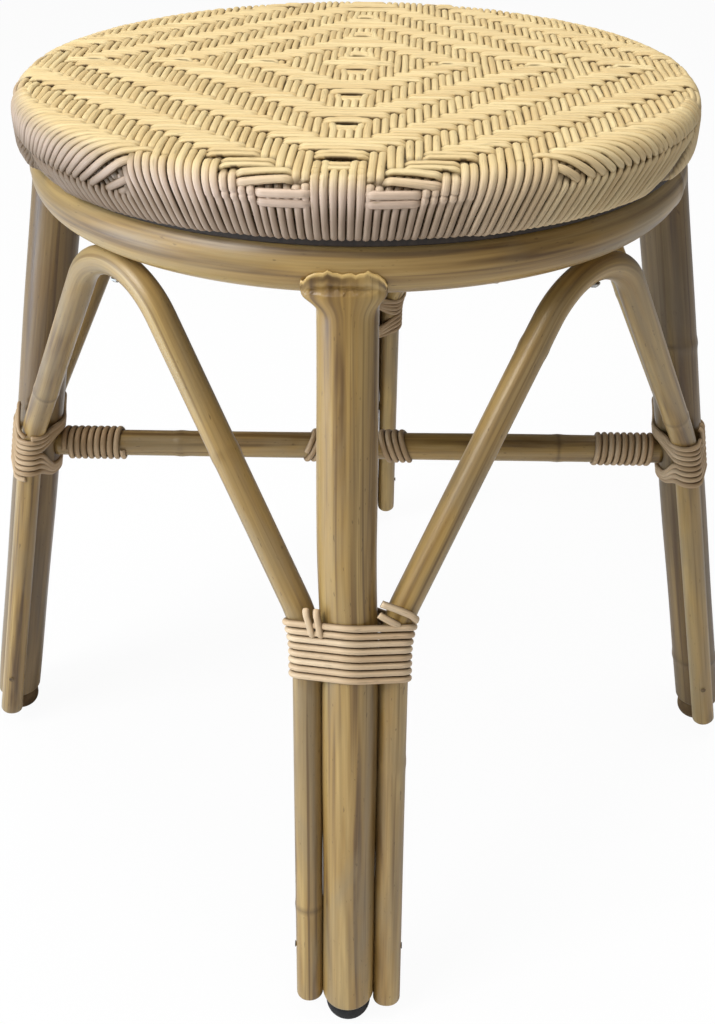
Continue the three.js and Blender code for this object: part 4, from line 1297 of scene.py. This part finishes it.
black_plastic = glide_finish("black_plastic", (0.009, 0.009, 0.009), (0.022, 0.021, 0.020))
brown_plastic = glide_finish("brown_plastic", (0.10, 0.058, 0.022), (0.17, 0.105, 0.045))
zinc_steel = steel_finish("zinc_steel", (0.36, 0.35, 0.33), (0.56, 0.56, 0.55), 1.0)
brown_steel = steel_finish("brown_steel", (0.10, 0.065, 0.035), (0.20, 0.135, 0.07), 0.5)
glide_profile = [(GLIDE_FLAT + GLIDE_EDGE * math.sin(turn), GLIDE_EDGE_HEIGHT * (1 - math.cos(turn)))
                 for turn in np.linspace(0, np.pi / 2, 10)]
glide_profile += [(13.3, GLIDE_TOP - 1.5), (13.1, GLIDE_TOP - 0.6), (12.6, GLIDE_TOP - 0.3)]
spike_profile = [(1.3, GLIDE_TOP - 1), (1.3, GLIDE_TOP + 12), (0.3, GLIDE_TOP + SPIKE_LENGTH)]
for corner, angle in CORNERS.items():
    parts = merged([lathe_parts(glide_profile), lathe_parts(spike_profile, 12)])
    parts = (turned(parts[0] + np.array([FOOT_RADIUS, 0, 0]), angle),) + parts[1:]
    plastic = black_plastic if corner == "front" else brown_plastic
    mesh_piece(f"glide_{corner}", f"foot_glide_{corner}", parts, {}, [plastic])
fixings = [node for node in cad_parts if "screw" in node or "nail" in node]
for node in fixings:
    fixing = bpy.data.objects[node]
    fixing.data.materials.clear()
    fixing.data.materials.append(brown_steel if "nail" in node else zinc_steel)
print("glides made,", len(fixings), "screws and nails finished")

# %% [markdown]
# The floor and the light. A pale floor keeps a soft shadow, a white world stands in for the
# studio's backdrop where the camera looks past it, and four soft lamps light the stool, the
# strongest from the upper left.

# %% Floor, world and lamps
FLOOR_REACH = 6
floor_mesh = bpy.data.meshes.new("floor")
floor_corners = [(x * FLOOR_REACH, y * FLOOR_REACH, 0) for x, y in ((-1, -1), (1, -1), (1, 1), (-1, 1))]
floor_mesh.from_pydata(floor_corners, [], [(0, 1, 2, 3)])
put_in_scene("floor", floor_mesh)
paint = Finish("pale_floor")
paint.shade({"Base Color": (0.86, 0.86, 0.86), "Roughness": 0.9, "Specular IOR Level": 0.1})
glow = paint.add("Emission", {})
seen = paint.sums(paint.add("LightPath", {}).outputs["Is Camera Ray"], 0.95)
mixed = paint.add("MixShader", {0: seen, 1: paint.shader.outputs["BSDF"], 2: glow.outputs["Emission"]})
paint.plug(paint.output.inputs["Surface"], mixed.outputs["Shader"])
floor_mesh.materials.append(paint.material)

world = bpy.data.worlds.new("studio")
bpy.context.scene.world = world
world.use_nodes = True
sky = Nodes(world.node_tree)
ambient = sky.add("Background", {"Color": (0.97, 0.98, 1.0), "Strength": 0.18})
backdrop = sky.add("Background", {"Color": (1, 1, 1)})
rays = sky.add("LightPath", {})
seen = sky.sums(rays.outputs["Is Camera Ray"], rays.outputs["Is Transmission Ray"], "MAXIMUM")
mixed = sky.add("MixShader", {0: seen, 1: ambient.outputs[0], 2: backdrop.outputs[0]})
sky.plug(world.node_tree.nodes["World Output"].inputs["Surface"], mixed.outputs[0])


def lamp(name, place, aim_height, size, power, colour):
    """A square soft lamp that looks at a point above the middle. Places in metres."""
    light = put_in_scene(name, bpy.data.lights.new(name, "AREA"))
    light.data.size, light.data.energy, light.data.color = size, power, colour
    way = Vector((0, 0, aim_height)) - Vector(place)
    aim = way.to_track_quat("-Z", "Y").to_matrix().to_4x4()
    light.matrix_world = Matrix.Translation(Vector(place)) @ aim


lamp("key", (-1.7, -1.1, 2.2), 0.3, 1.2, 60, (1.0, 0.985, 0.97))
lamp("fill", (1.2, -2.0, 1.0), 0.25, 1.6, 2.5, (1.0, 0.96, 0.9))
lamp("top", (0.2, 0.2, 2.6), 0.4, 1.2, 30, (1.0, 0.99, 0.97))
lamp("window", (-1.7, -0.5, 0.45), 0.3, 0.9, 16, (0.62, 0.79, 1.0))
bpy.context.scene.view_settings.view_transform = "Standard"
print("floor, world and four lamps")

# %% [markdown] The dressed stool has to stay inside the solids' box, apart from a hair's
# breadth.
